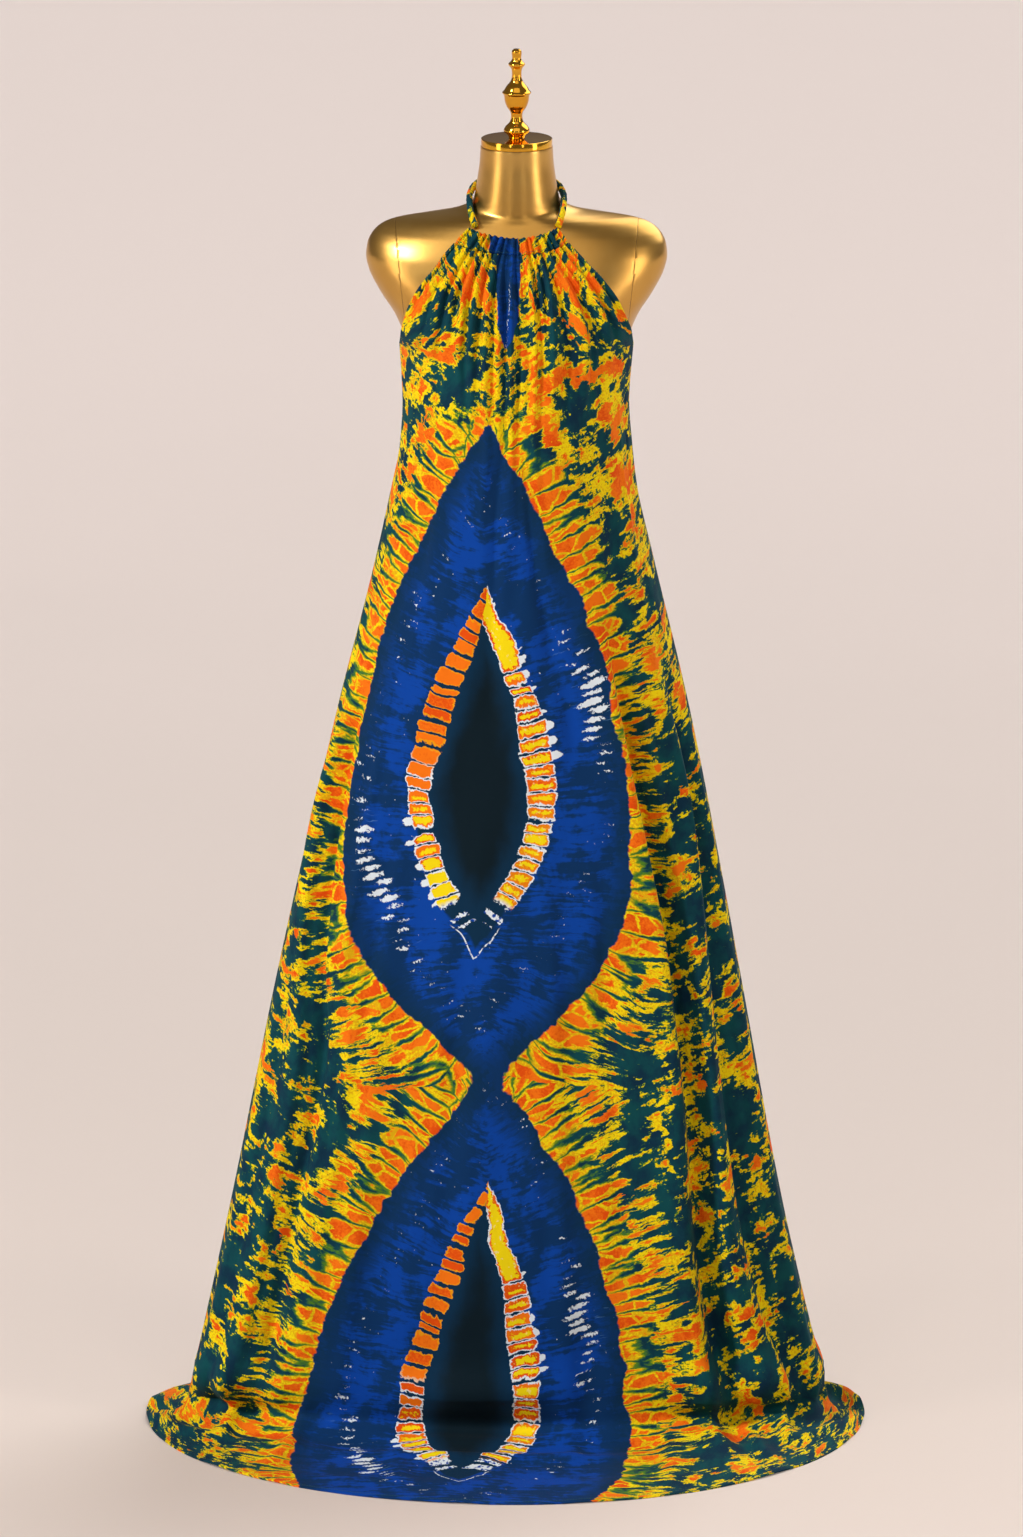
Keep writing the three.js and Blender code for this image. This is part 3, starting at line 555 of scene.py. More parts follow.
def make_piece(
    name: str,
    points: np.ndarray,
    faces: list[tuple[int, ...]],
    material: bpy.types.Material,
    flat_cloth: np.ndarray | None = None,
    plain_from: int | None = None,
) -> bpy.types.Object:
    """Make one closed piece.

    Args:
        name: the piece's name.
        points: its vertices in millimetres.
        faces: its faces.
        material: its finish.
        flat_cloth: for cloth, where each vertex lay on the flat cloth, in metres.
        plain_from: index of the first face that is shaded flat.

    Returns:
        The linked object, smooth shaded.
    """
    mesh = bpy.data.meshes.new(name)
    mesh.from_pydata((points * MM).tolist(), [], outward(points, faces))
    smooth = np.ones(len(faces), bool)
    if plain_from is not None:
        smooth[plain_from:] = False
    mesh.polygons.foreach_set("use_smooth", smooth)
    if flat_cloth is not None:
        corners = np.empty(len(mesh.loops), int)
        mesh.loops.foreach_get("vertex_index", corners)
        layer = mesh.uv_layers.new(name="flat_cloth")
        layer.data.foreach_set("uv", flat_cloth[corners].astype(np.float32).ravel())
    mesh.materials.append(material)
    mesh.update()
    return add_object(name, mesh)


def shell_faces(rows: int, columns: int) -> tuple[list[tuple[int, ...]], int]:
    """Faces of a wall between two grids of rows x columns vertices, outer grid first.

    Returns:
        The faces, and the index of the first face on the wall's rim.
    """
    ids = np.arange(2 * rows * columns).reshape(2, rows, columns)

    def grid(layer: np.ndarray) -> np.ndarray:
        """Faces of one layer."""
        corners = (layer[:-1, :-1], layer[1:, :-1], layer[1:, 1:], layer[:-1, 1:])
        return np.stack([corner.ravel() for corner in corners], axis=1)

    def rim(outer: np.ndarray, inner: np.ndarray) -> np.ndarray:
        """Faces from one edge of the outer layer to the inner layer's."""
        return np.stack([outer[:-1], outer[1:], inner[1:], inner[:-1]], axis=1)

    outer, inner = ids
    walls = np.vstack([grid(outer), grid(inner)[:, ::-1]])
    rims = np.vstack([
        rim(outer[0], inner[0]),
        rim(outer[:, -1], inner[:, -1]),
        rim(outer[-1, ::-1], inner[-1, ::-1]),
        rim(outer[::-1, 0], inner[::-1, 0]),
    ])
    return [tuple(face) for face in np.vstack([walls, rims]).tolist()], len(walls)


def loft_faces(rings: int, size: int) -> list[tuple[int, ...]]:
    """Faces of a closed loft through equal rings, with one face on each end."""
    ids = np.arange(rings * size).reshape(rings, size)
    turned = np.roll(ids, -1, axis=1)
    corners = (ids[:-1], turned[:-1], turned[1:], ids[1:])
    sides = np.stack([corner.ravel() for corner in corners], axis=1).tolist()
    ends = [tuple(ids[0][::-1].tolist()), tuple(ids[-1].tolist())]
    return [tuple(face) for face in sides] + ends


def make_shell(
    name: str, outer: np.ndarray, inner: np.ndarray, cloth: np.ndarray,
    material: bpy.types.Material,
) -> bpy.types.Object:
    """Make a closed wall of cloth between two grids of points, on its flat-cloth map."""
    points = np.concatenate([outer.reshape(-1, 3), inner.reshape(-1, 3)])
    faces, rim = shell_faces(*outer.shape[:2])
    flat = np.concatenate([cloth.reshape(-1, 2)] * 2)
    return make_piece(name, points, faces, material, flat, rim)


def make_tube(
    name: str, rings: np.ndarray, cloth: np.ndarray, material: bpy.types.Material
) -> bpy.types.Object:
    """Make a closed tube of cloth from its rings of points, on its flat-cloth map."""
    faces = loft_faces(*rings.shape[:2])
    ends = len(faces) - 2
    return make_piece(name, rings.reshape(-1, 3), faces, material, cloth.reshape(-1, 2), ends)


def turned_mesh(profile: np.ndarray, columns: int) -> tuple[np.ndarray, list[tuple[int, ...]]]:
    """A solid of revolution about Z.

    Args:
        profile: (z, radius) rows, with radius above zero.
        columns: sides round the axis.

    Returns:
        Its points in millimetres and its faces; the last two faces are its flat ends.
    """
    angles = turns(columns)
    ring = np.stack([np.cos(angles), np.sin(angles)], axis=1)
    points = [np.column_stack([radius * ring, np.full(columns, z)]) for z, radius in profile]
    return np.vstack(points), loft_faces(len(profile), columns)


# ---------------------------------------------------------------------------------------------
# Node helpers
# ---------------------------------------------------------------------------------------------
Value: TypeAlias = "Wire | float"


def linear(code: str) -> tuple[float, float, float, float]:
    """A screen colour such as 0B4B50 as the linear colour that a shader takes."""
    parts = [int(code[i : i + 2], 16) / 255 for i in (0, 2, 4)]
    low = [part / 12.92 if part <= 0.04045 else ((part + 0.055) / 1.055) ** 2.4 for part in parts]
    return (*low, 1.0)


def joined(operation: str) -> tuple[Callable, Callable]:
    """An operator's two methods, for a wire on its left and for one on its right."""

    def left(wire: "Wire", other: Value) -> "Wire":
        """The wire joined with what follows it."""
        return wire.graph.math(operation, wire, other)

    def right(wire: "Wire", other: Value) -> "Wire":
        """The wire joined with what stands before it."""
        return wire.graph.math(operation, other, wire)

    return left, right


class Wire:
    """A value that flows between nodes, with arithmetic that adds the nodes it needs."""

    def __init__(self, graph: "Graph", socket: bpy.types.NodeSocket) -> None:
        """Keep the graph and the socket that the value comes out of."""
        self.graph = graph
        self.socket = socket

    __add__, __radd__ = joined("ADD")
    __sub__, __rsub__ = joined("SUBTRACT")
    __mul__, __rmul__ = joined("MULTIPLY")
    __truediv__, __rtruediv__ = joined("DIVIDE")
    __pow__, __rpow__ = joined("POWER")

    def __neg__(self) -> "Wire":
        """The value with its sign changed."""
        return self.graph.math("MULTIPLY", self, -1.0)


class Graph:
    """A node tree that is built by calling its methods."""

    def __init__(self, tree: bpy.types.NodeTree) -> None:
        """Start from an existing tree."""
        self.tree = tree

    def node(self, kind: str, **settings: object) -> bpy.types.Node:
        """Add a node of a kind and set its properties."""
        made = self.tree.nodes.new(kind)
        for name, value in settings.items():
            setattr(made, name, value)
        return made

    def feed(self, socket: bpy.types.NodeSocket, value: object) -> None:
        """Link a wire to a socket, or set the socket's own value; text is a screen colour."""
        if isinstance(value, Wire):
            self.tree.links.new(value.socket, socket)
        else:
            socket.default_value = linear(value) if isinstance(value, str) else value

    def set(self, node: bpy.types.Node, **values: object) -> None:
        """Feed a node's inputs by name; underlines stand for spaces."""
        for name, value in values.items():
            self.feed(node.inputs[name.replace("_", " ")], value)

    def math(self, operation: str, *values: Value) -> Wire:
        """One Math node."""
        made = self.node("ShaderNodeMath", operation=operation)
        for socket, value in zip(made.inputs, values):
            self.feed(socket, value)
        return Wire(self, made.outputs[0])

    def vector(self, x: Value, y: Value, z: Value = 0.0) -> Wire:
        """Three values joined in a vector."""
        made = self.node("ShaderNodeCombineXYZ")
        for socket, value in zip(made.inputs, (x, y, z)):
            self.feed(socket, value)
        return Wire(self, made.outputs[0])

    def split(self, vector: Wire) -> tuple[Wire, Wire, Wire]:
        """The three parts of a vector."""
        made = self.node("ShaderNodeSeparateXYZ")
        self.feed(made.inputs[0], vector)
        return tuple(Wire(self, made.outputs[i]) for i in range(3))

    def noise(self, vector: Wire, detail: float = 2.0, roughness: float = 0.5) -> Wire:
        """Noise with features about one unit of the vector across, from 0 to 1."""
        made = self.node("ShaderNodeTexNoise", noise_dimensions="3D")
        self.set(made, Vector=vector, Scale=1.0, Detail=detail, Roughness=roughness)
        return Wire(self, made.outputs["Fac"])

    def patchy(
        self, x: Wire, y: Wire, size: tuple[float, float], seed: Value,
        detail: float = 2.0, roughness: float = 0.5,
    ) -> Wire:
        """Noise from 0 to 1 whose features are size wide and high.

        Args:
            x: place one way.
            y: place the other way.
            size: the features' width and height, in the places' own unit.
            seed: place in the noise's third direction.
            detail: how many finer layers it has.
            roughness: how strong they are.

        Returns:
            The noise.
        """
        return self.noise(self.vector(x / size[0], y / size[1], seed), detail, roughness)

    def uneven(self, *features: object) -> Wire:
        """The same noise from -0.5 to 0.5."""
        return self.patchy(*features) - 0.5

    def cells(self, vector: Wire, feature: str) -> Wire:
        """Distance measured in cells about one unit across."""
        made = self.node("ShaderNodeTexVoronoi", voronoi_dimensions="3D", feature=feature)
        self.set(made, Vector=vector, Scale=1.0)
        return Wire(self, made.outputs["Distance"])

    def chance(self, value: Wire) -> Wire:
        """A steady random number from 0 to 1 for each whole number."""
        made = self.node("ShaderNodeTexWhiteNoise", noise_dimensions="1D")
        self.set(made, W=value)
        return Wire(self, made.outputs["Value"])

    def step(self, value: Wire, low: Value, high: Value) -> Wire:
        """Smooth rise from 0 at low to 1 at high; low above high makes it fall."""
        made = self.node("ShaderNodeMapRange", interpolation_type="SMOOTHSTEP")
        self.set(made, Value=value, From_Min=low, From_Max=high)
        return Wire(self, made.outputs["Result"])

    def mix(self, factor: Value, a: Value, b: Value) -> Wire:
        """The value a part factor of the way from a to b."""
        made = self.node("ShaderNodeMix", data_type="FLOAT")
        for socket, value in zip((made.inputs[0], made.inputs[2], made.inputs[3]), (factor, a, b)):
            self.feed(socket, value)
        return Wire(self, made.outputs[0])

    def tint(self, factor: Value, a: object, b: object) -> Wire:
        """The colour a part factor of the way from a to b."""
        made = self.node("ShaderNodeMix", data_type="RGBA")
        for socket, value in zip((made.inputs[0], made.inputs[6], made.inputs[7]), (factor, a, b)):
            self.feed(socket, value)
        return Wire(self, made.outputs[2])

    def group(self, tree: bpy.types.NodeTree, **values: object) -> dict[str, Wire]:
        """A group node with its inputs fed by name, and its outputs by name."""
        made = self.node("ShaderNodeGroup", node_tree=tree)
        self.set(made, **values)
        return {socket.name: Wire(self, socket) for socket in made.outputs}

    def bump(self, shader: bpy.types.Node, height: Wire, strength: float) -> None:
        """Bend a shader's normal by a height in metres."""
        made = self.node("ShaderNodeBump")
        self.set(made, Height=height, Strength=strength, Distance=1.0)
        self.set(shader, Normal=Wire(self, made.outputs[0]))


class GroupBuilder:
    """A new shader node group with named inputs and outputs."""

    def __init__(self, name: str, inputs: dict[str, str], outputs: dict[str, str]) -> None:
        """Make the group and its sockets.

        Args:
            name: the group's name.
            inputs: socket type of each named input, such as Float or Vector.
            outputs: the same for each output.
        """
        self.tree = bpy.data.node_groups.new(name, "ShaderNodeTree")
        for names, way in ((inputs, "INPUT"), (outputs, "OUTPUT")):
            for label, kind in names.items():
                socket_type = f"NodeSocket{kind}"
                self.tree.interface.new_socket(label, in_out=way, socket_type=socket_type)
        self.graph = Graph(self.tree)
        entry = self.graph.node("NodeGroupInput")
        self.inputs = {label: Wire(self.graph, entry.outputs[label]) for label in inputs}
        self.exit = self.graph.node("NodeGroupOutput")

    def finish(self, **values: Wire) -> bpy.types.NodeTree:
        """Feed the outputs and give the finished group."""
        self.graph.set(self.exit, **values)
        return self.tree


def leaf_group() -> bpy.types.NodeTree:
    """Group that measures flat cloth against a leaf figure: how far off its edge, where along."""
    sizes = ("Centre", "Lean", "Level", "Half", "Above", "Below", "Power above", "Power below")
    build = GroupBuilder(
        "leaf_measure",
        {name: "Float" for name in ("Across", "Down", *sizes)},
        {"Distance": "Float", "Along": "Float"},
    )
    g, value = build.graph, build.inputs
    half = value["Half"]
    offset = value["Down"] - value["Level"]
    below = g.math("GREATER_THAN", offset, 0.0)
    height = g.mix(below, value["Above"], value["Below"])
    power = g.mix(below, value["Power above"], value["Power below"])
    aside = g.math("ABSOLUTE", value["Across"] - value["Centre"] - value["Lean"] * offset)
    up = g.math("ABSOLUTE", offset)
    part = up / height
    slope = half * power * part ** (power - 1.0) / height
    length = g.math("SQRT", slope * slope + 1.0)
    distance = (aside + half * part**power - half) / length
    bend = half * power * (power - 1.0) / (height * height)
    reach = distance / (g.math("ABSOLUTE", distance) * bend + 1.0)
    foot = up - reach * slope / length
    fall = half * (g.math("ABSOLUTE", foot) / height) ** power
    along = (foot + fall * 0.4) * (below * 2.0 - 1.0)
    return build.finish(Distance=distance, Along=along)


def weave_group() -> bpy.types.NodeTree:
    """Group for the height of a plain weave with uneven threads, over flat cloth in metres."""
    build = GroupBuilder("plain_weave", {"Cloth": "Vector", "Pitch": "Float"}, {"Height": "Float"})
    g = build.graph
    across, down, _ = g.split(build.inputs["Cloth"])
    turn = 2 * math.pi
    warp = g.math("SINE", across / build.inputs["Pitch"] * turn)
    weft = g.math("SINE", down / build.inputs["Pitch"] * turn)
    slub = g.noise(g.vector(across * 900.0, down * 140.0), 2.0)
    return build.finish(Height=warp * weft * 0.5 + slub)


def wear_group() -> bpy.types.NodeTree:
    """Group for faint clouding of a lacquered or polished metal, over object coordinates."""
    build = GroupBuilder(
        "handled_metal",
        {"Place": "Vector", "Scale": "Float", "Streaks": "Float"},
        {"Cloud": "Float", "Grain": "Float"},
    )
    g = build.graph
    x, y, z = g.split(build.inputs["Place"])
    scale = build.inputs["Scale"]
    cloud = g.noise(g.vector(x * scale, y * scale, z * scale), 4.0, 0.55)
    streaks = build.inputs["Streaks"]
    grain = g.noise(g.vector(x * 260.0, y * 260.0, z * streaks), 3.0, 0.6)
    return build.finish(Cloud=cloud, Grain=grain)


def start_material(name: str) -> tuple[bpy.types.Material, Graph, bpy.types.Node]:
    """An empty node material with its surface shader.

    Returns:
        The material, its graph and its Principled shader.
    """
    material = bpy.data.materials.new(name)
    material.use_nodes = True
    tree = material.node_tree
    tree.nodes.clear()
    graph = Graph(tree)
    shader = graph.node("ShaderNodeBsdfPrincipled")
    out = graph.node("ShaderNodeOutputMaterial")
    tree.links.new(shader.outputs[0], out.inputs["Surface"])
    return material, graph, shader


# ---------------------------------------------------------------------------------------------
# Finishes
# ---------------------------------------------------------------------------------------------
class Leaf(NamedTuple):
    """A dyed leaf figure, in flat-cloth millimetres across from the middle and down."""

    centre: float
    level: float
    half: float
    above: float
    below: float
    power_above: float = 2.15
    power_below: float = 2.15
    lean: float = 0.0

    def inputs(self) -> dict[str, float]:
        """The figure's sizes by the names of the leaf group's inputs."""
        return {name.capitalize(): value for name, value in self._asdict().items()}


UPPER_LEAF = Leaf(-43, 820, 191, 600, 261)
LOWER_LEAF = Leaf(-78, 1640, 222, 566, 387, lean=-0.08)
NECK_LEAF = Leaf(-26, -10, 35, 60, 136, 2, 4)
UPPER_RING = (
    Leaf(-47, 703, 97, 268, 217, 1.65, 2, -0.027),
    Leaf(-47, 700, 63, 225, 168, 1.25, 2.4, -0.027),
)
LOWER_RING = (
    Leaf(-62, 1530, 95, 304, 192, 1.65, 2, -0.07),
    Leaf(-62, 1520, 60, 262, 145, 1.25, 2.2, -0.07),
)


@dataclass
class RingPlace:
    """Where a point of cloth lies about the ring of blocks."""

    graph: Graph
    x: Wire
    y: Wire
    outer: Wire
    inner: Wire
    along: Wire
    right: Wire
    lower: Wire


@dataclass(frozen=True)
class DyedCotton:
    """Cotton dyed in leaf figures by stitching and pleating it before each bath."""

    name: str
    seed: float = 0.0
    petrol: str = "08464C"
    deep_petrol: str = "072C42"
    green: str = "4F7F1E"
    yellow: str = "F0D70A"
    ochre: str = "DDAA0B"
    amber: str = "E8960C"
    orange: str = "F0740E"
    burnt: str = "DF4E06"
    royal: str = "03409E"
    sky: str = "6FA8DC"
    ink: str = "04305F"
    shadow_blue: str = "052C48"
    navy: str = "061A24"
    undyed: str = "DDE8F0"
    cream: str = "F4E08A"
    roughness: float = 0.8
    crumple_relief: float = 0.0016
    weave_relief: float = 0.00006
    neck_levels: tuple[float, float] = (245.0, 165.0)
    figures_blend: float = 84.0
    finger_pitch: float = 26.0
    block_pitch: float = 20.5
    block_wander: float = 30.0
    dash_pitch: float = 11.0
    dash_half: tuple[float, float] = (4.2, 15.0)
    dash_reach: float = 64.0
    thread_pitch: float = 0.0007

    def build(self, leaf: bpy.types.NodeTree, weave: bpy.types.NodeTree) -> bpy.types.Material:
        """Make the material.

        Args:
            leaf: the group that measures cloth against a leaf figure.
            weave: the group that gives the weave's height.

        Returns:
            The cotton, which reads the flat-cloth map of its piece.
        """
        material, g, shader = start_material(self.name)
        cloth = Wire(g, g.node("ShaderNodeUVMap", uv_map="flat_cloth").outputs[0])
        across, down, _ = g.split(cloth)
        x, y = across * 1000.0, down * 1000.0
        wide = g.uneven(x, y, (70.0, 70.0), self.seed, 1.0)
        fine = g.uneven(x, y, (16.0, 16.0), self.seed + 3.0, 3.0, 0.6)
        x = x + wide * 22.0 + fine * 7.0
        y = y + wide * -16.0 + fine * 6.0

        def measure(figure: Leaf) -> tuple[Wire, Wire]:
            """Distance off a figure's edge, and place along it."""
            found = g.group(leaf, Across=x, Down=y, **figure.inputs())
            return found["Distance"], found["Along"]

        upper, upper_along = measure(UPPER_LEAF)
        lower, lower_along = measure(LOWER_LEAF)
        neck, neck_along = measure(NECK_LEAF)
        pair = g.math("SMOOTH_MIN", upper, lower, self.figures_blend)
        first = g.math("LESS_THAN", upper, lower)
        along = g.mix(first, lower_along + 4000.0, upper_along)
        nearest = g.math("LESS_THAN", neck, pair)
        along = g.mix(nearest, along, neck_along + 9000.0)
        edge = g.math("MINIMUM", pair, neck)
        side = g.math("TANH", (x - UPPER_LEAF.centre) / 38.0) * 1.4 + self.seed

        calm = g.math("MAXIMUM", nearest, g.step(y, *self.neck_levels))
        colour = self.field(g, edge, along, side, x, y, calm)
        colour = self.figure(g, colour, edge, along, side, x, y)
        colour = self.ring(g, leaf, colour, x, y)
        self.cloth_surface(g, shader, colour, cloth, weave)
        return material

    def field(
        self, g: Graph, edge: Wire, along: Wire, side: Wire, x: Wire, y: Wire, calm: Wire
    ) -> Wire:
        """Colour of the cloth outside the blue: fingers of beads at its edge, then streaks.

        Args:
            g: the material's graph.
            edge: distance outside the blue figure, in millimetres.
            along: place along the figure's edge.
            side: number that tells the figure's two sides apart.
            x: place across the flat cloth.
            y: place down the flat cloth.
            calm: one where no beads lie along the edge.

        Returns:
            The colour.
        """
        spread = g.math("MAXIMUM", edge, 0.0)
        worn = g.uneven(along, edge, (6.0, 15.0), side, 3.0, 0.6)
        place = g.vector(along / self.finger_pitch, edge / 240.0, side * 2.0)
        fingers = g.cells(place, "DISTANCE_TO_EDGE")
        beads = g.cells(g.vector(along / 22.0, edge / 34.0, side + 9.0), "DISTANCE_TO_EDGE")
        finger = fingers * self.finger_pitch - spread * 0.05 - 0.2 + worn * (spread * 0.1 + 2.5)
        bead = g.math("MINIMUM", beads * 22.0 - 1.0, finger - 1.5) + worn * 4.0

        streaks = g.uneven(along, edge, (8.0, 52.0), side, 4.0, 0.6)
        patches = g.uneven(x, y, (58.0, 70.0), self.seed + 9.0, 2.0)
        blotches = g.uneven(x, y, (19.0, 25.0), self.seed + 5.0, 4.0, 0.62)
        fleck = g.uneven(x, y, (3.4, 3.4), self.seed + 6.0, 2.0, 0.6)
        warm = g.uneven(x, y, (40.0, 36.0), self.seed + 13.0, 2.0)
        aside = g.math("ABSOLUTE", x - UPPER_LEAF.centre)
        slanted = g.vector((aside - y * 0.45) / 40.0, (y + aside * 0.45) / 9.5, self.seed + 17.0)
        strokes = g.noise(slanted, 3.0, 0.6) - 0.5
        far = g.math("MAXIMUM", g.step(edge, 60.0, 130.0), g.step(y, 500.0, 340.0))
        near = streaks * 1.15 + patches * 0.6 + 0.015
        wild = strokes * 0.6 + blotches * 0.75 + patches * 0.8 - 0.045
        wild = wild + g.step(y, 620.0, 330.0) * 0.052
        free = g.mix(far, near, wild) + fleck * 0.13
        inner = g.math("MAXIMUM", g.step(edge + worn * 50.0, 40.0, 66.0), calm)
        bath = g.mix(inner, finger / 45.0, free)
        hot = g.mix(inner, bead / 45.0, free - 0.095 - warm * 0.5)

        mottle = g.patchy(x, y, (34.0, 44.0), self.seed + 2.0, 4.0, 0.6)
        petrol = g.tint(g.step(mottle, 0.34, 0.66), self.deep_petrol, self.petrol)
        yellow = g.tint(g.step(fleck + warm * 0.6, -0.1, 0.12), self.ochre, self.yellow)
        orange = g.tint(g.step(mottle + fleck * 0.5, 0.36, 0.6), self.burnt, self.orange)
        colour = g.tint(g.step(bath, -0.03, -0.002), petrol, self.green)
        colour = g.tint(g.step(bath, -0.006, 0.018), colour, yellow)
        return g.tint(g.step(hot, -0.008, 0.016), colour, orange)

    def figure(
        self, g: Graph, outside: Wire, edge: Wire, along: Wire, side: Wire, x: Wire, y: Wire
    ) -> Wire:
        """Colour with the blue figure laid in, darker towards its edge and faintly rayed."""
        rays = g.uneven(along, edge, (6.5, 70.0), side + 2.0, 4.0, 0.62)
        clouds = g.uneven(x, y, (46.0, 60.0), self.seed + 1.0, 3.0, 0.55)
        grain = g.uneven(x, y, (7.0, 9.0), self.seed + 4.0, 3.0, 0.6)
        depth = g.step(edge + rays * 70.0 + clouds * 50.0, -40.0, -2.0)
        strength = g.step(rays * 1.8 + clouds * 2.3 + grain * 0.6, -0.16, 0.26)
        blue = g.tint(strength, self.ink, self.royal)
        at_neck = g.step(y, *self.neck_levels)
        blue = g.tint(depth * g.mix(at_neck, 0.8, 0.2), blue, self.shadow_blue)
        aside = g.math("ABSOLUTE", x - NECK_LEAF.centre)
        marks = g.patchy(x, y, (2.4, 4.2), self.seed + 23.0, 1.0)
        stitched = at_neck * g.step(aside, 3.2, 1.4) * g.step(marks, 0.56, 0.62)
        blue = g.tint(stitched * g.step(y, 30.0, 55.0), blue, self.undyed)
        scallop = g.noise(g.vector(along / 12.0, 0.0, side), 2.0) - 0.5
        return g.tint(g.step(edge + scallop * 12.0, 1.2, -1.2), outside, blue)

    def ring(
        self, g: Graph, leaf: bpy.types.NodeTree, ground: Wire, x: Wire, y: Wire
    ) -> Wire:
        """Colour with the ring of dyed blocks, its dark middle and the white dashes round it."""
        lower = g.math("GREATER_THAN", y, UPPER_LEAF.level + UPPER_LEAF.below)

        def measure(figures: tuple[Leaf, Leaf]) -> tuple[Wire, Wire]:
            """The same for the upper or the lower figure, whichever is nearer."""
            one, two = (figure.inputs() for figure in figures)
            sizes = {name: g.mix(lower, one[name], two[name]) for name in one}
            found = g.group(leaf, Across=x, Down=y, **sizes)
            return found["Distance"], found["Along"]

        outer, along = measure((UPPER_RING[0], LOWER_RING[0]))
        inner, _ = measure((UPPER_RING[1], LOWER_RING[1]))
        axis = UPPER_RING[0].centre + (y - UPPER_RING[0].level) * UPPER_RING[0].lean
        lower_axis = LOWER_RING[0].centre + (y - LOWER_RING[0].level) * LOWER_RING[0].lean
        axis = g.mix(lower, axis, lower_axis)
        right = g.math("GREATER_THAN", x, axis)
        place = RingPlace(g, x, y, outer, inner, along, right, lower)
        colour = self.middle(place, ground)
        colour = self.blocks(place, colour)
        return self.dashes(place, colour)

    def middle(self, at: RingPlace, ground: Wire) -> Wire:
        """Colour with the dark cloth inside the ring."""
        g = at.graph
        cloud = g.uneven(at.x, at.y, (30.0, 60.0), self.seed + 8.0, 3.0)
        deep = g.step(at.inner + cloud * 30.0, 0.0, -34.0)
        dark = g.tint(deep, self.shadow_blue, self.navy)
        return g.tint(g.step(at.outer, -4.0, -9.0), ground, dark)

    def blocks(self, at: RingPlace, ground: Wire) -> Wire:
        """Colour with the ring's blocks, their pale rims and the knobs beside them."""
        g, right, along = at.graph, at.right, at.along
        pitch = self.block_pitch
        place = g.vector(along / self.block_wander, right * 5.0, self.seed + at.lower * 3.0)
        wander = (g.noise(place, 1.0) - 0.5) * self.block_wander
        beat = (along + wander) / pitch + right * 40.0 + at.lower * 90.0
        block = g.math("FLOOR", beat)
        chance = g.chance(block + self.seed)
        again = g.chance(block + self.seed + 0.37)
        within = g.math("FRACT", beat)
        rough = g.uneven(at.x, at.y, (3.6, 3.6), 8.0, 3.0, 0.62)
        specks = g.patchy(at.x, at.y, (5.5, 7.0), 3.0)
        lumps = g.uneven(at.x, at.y, (10.5, 10.5), 11.0, 1.0)
        high = g.step(along, -20.0, -60.0)
        parted = high * (1.0 - right)
        wedge = high * right * g.step(along, -185.0, -212.0)
        to_gap = g.math("MINIMUM", within, 1.0 - within) * pitch
        joined = g.step(again, 0.8, 0.82) * 2.4 * right
        to_gap = to_gap - g.mix(parted, 1.5, 2.6) - chance * 1.2 + joined
        to_gap = g.mix(wedge, to_gap, 9.0)
        across = g.math("MINIMUM", -at.outer, at.inner) - chance * 2.2 + 0.9
        across = g.math("MINIMUM", across, at.outer + 38.0)
        depth = g.math("SMOOTH_MIN", to_gap, across, 4.5) + rough * 4.2 + lumps * 6.5 + 0.6
        pale = 1.0 - parted

        knob_x = (within - 0.5) * pitch / (4.0 + again * 2.5)
        knob_y = (at.outer - 2.0) / (4.0 + chance * 5.5)
        knob = 1.0 - knob_x * knob_x - knob_y * knob_y + rough * 1.4
        beside = g.mix(right, g.step(along, 0.0, 40.0) * g.step(along, 190.0, 150.0),
                       g.step(along, -230.0, -200.0) * g.step(along, -20.0, -60.0))
        knobs = g.step(knob, 0.0, 0.25) * g.step(chance + beside, 1.15, 1.2)
        colour = g.tint(knobs * g.step(at.outer, -3.0, -1.0), ground, self.undyed)

        tail = along + at.lower * 26.0
        end = g.step(tail, 168.0, 176.0)
        last = g.step(tail, 212.0, 218.0)
        edge = g.tint(pale, self.amber, self.undyed)
        worn = end * (4.4 + rough * 15.0) + last * 9.0
        edge = g.tint(end * g.step(specks, 0.5, 0.6), edge, self.royal)
        colour = g.tint(g.step(depth - worn, -0.3, 0.3), colour, edge)
        orange = g.tint(g.step(again + rough, 0.3, 0.7), self.burnt, self.orange)
        amber_part = right * g.step(along, 10.0, 40.0)
        orange = g.tint(amber_part * 0.6, orange, self.amber)
        hearted = g.math("MAXIMUM", right, g.step(along, -10.0, 20.0))
        reach = 3.2 + (1.0 - chance) * 3.4 + (1.0 - hearted) * 8.0 - wedge * 1.6
        reach = reach - g.step(along, 90.0, 130.0) * (1.0 - right) * 3.0
        heart = g.step(depth + rough * 9.0 - reach, -0.5, 0.9)
        fill = g.tint(heart, orange, self.yellow)
        bare = g.step(specks, 0.62, 0.68) * g.math("MAXIMUM", wedge, right * 0.6)
        fill = g.tint(bare, fill, self.cream)
        rim = 1.1 + (specks - 0.5) * 4.0
        filled = g.step(depth, rim, rim + 0.9)
        colour = g.tint(filled * (1.0 - end), colour, fill)
        line = g.step(g.math("ABSOLUTE", at.outer - 1.0), 1.2, 0.5) * g.step(tail, 200.0, 212.0)
        return g.tint(line * g.step(rough, -0.1, 0.0), colour, self.undyed)

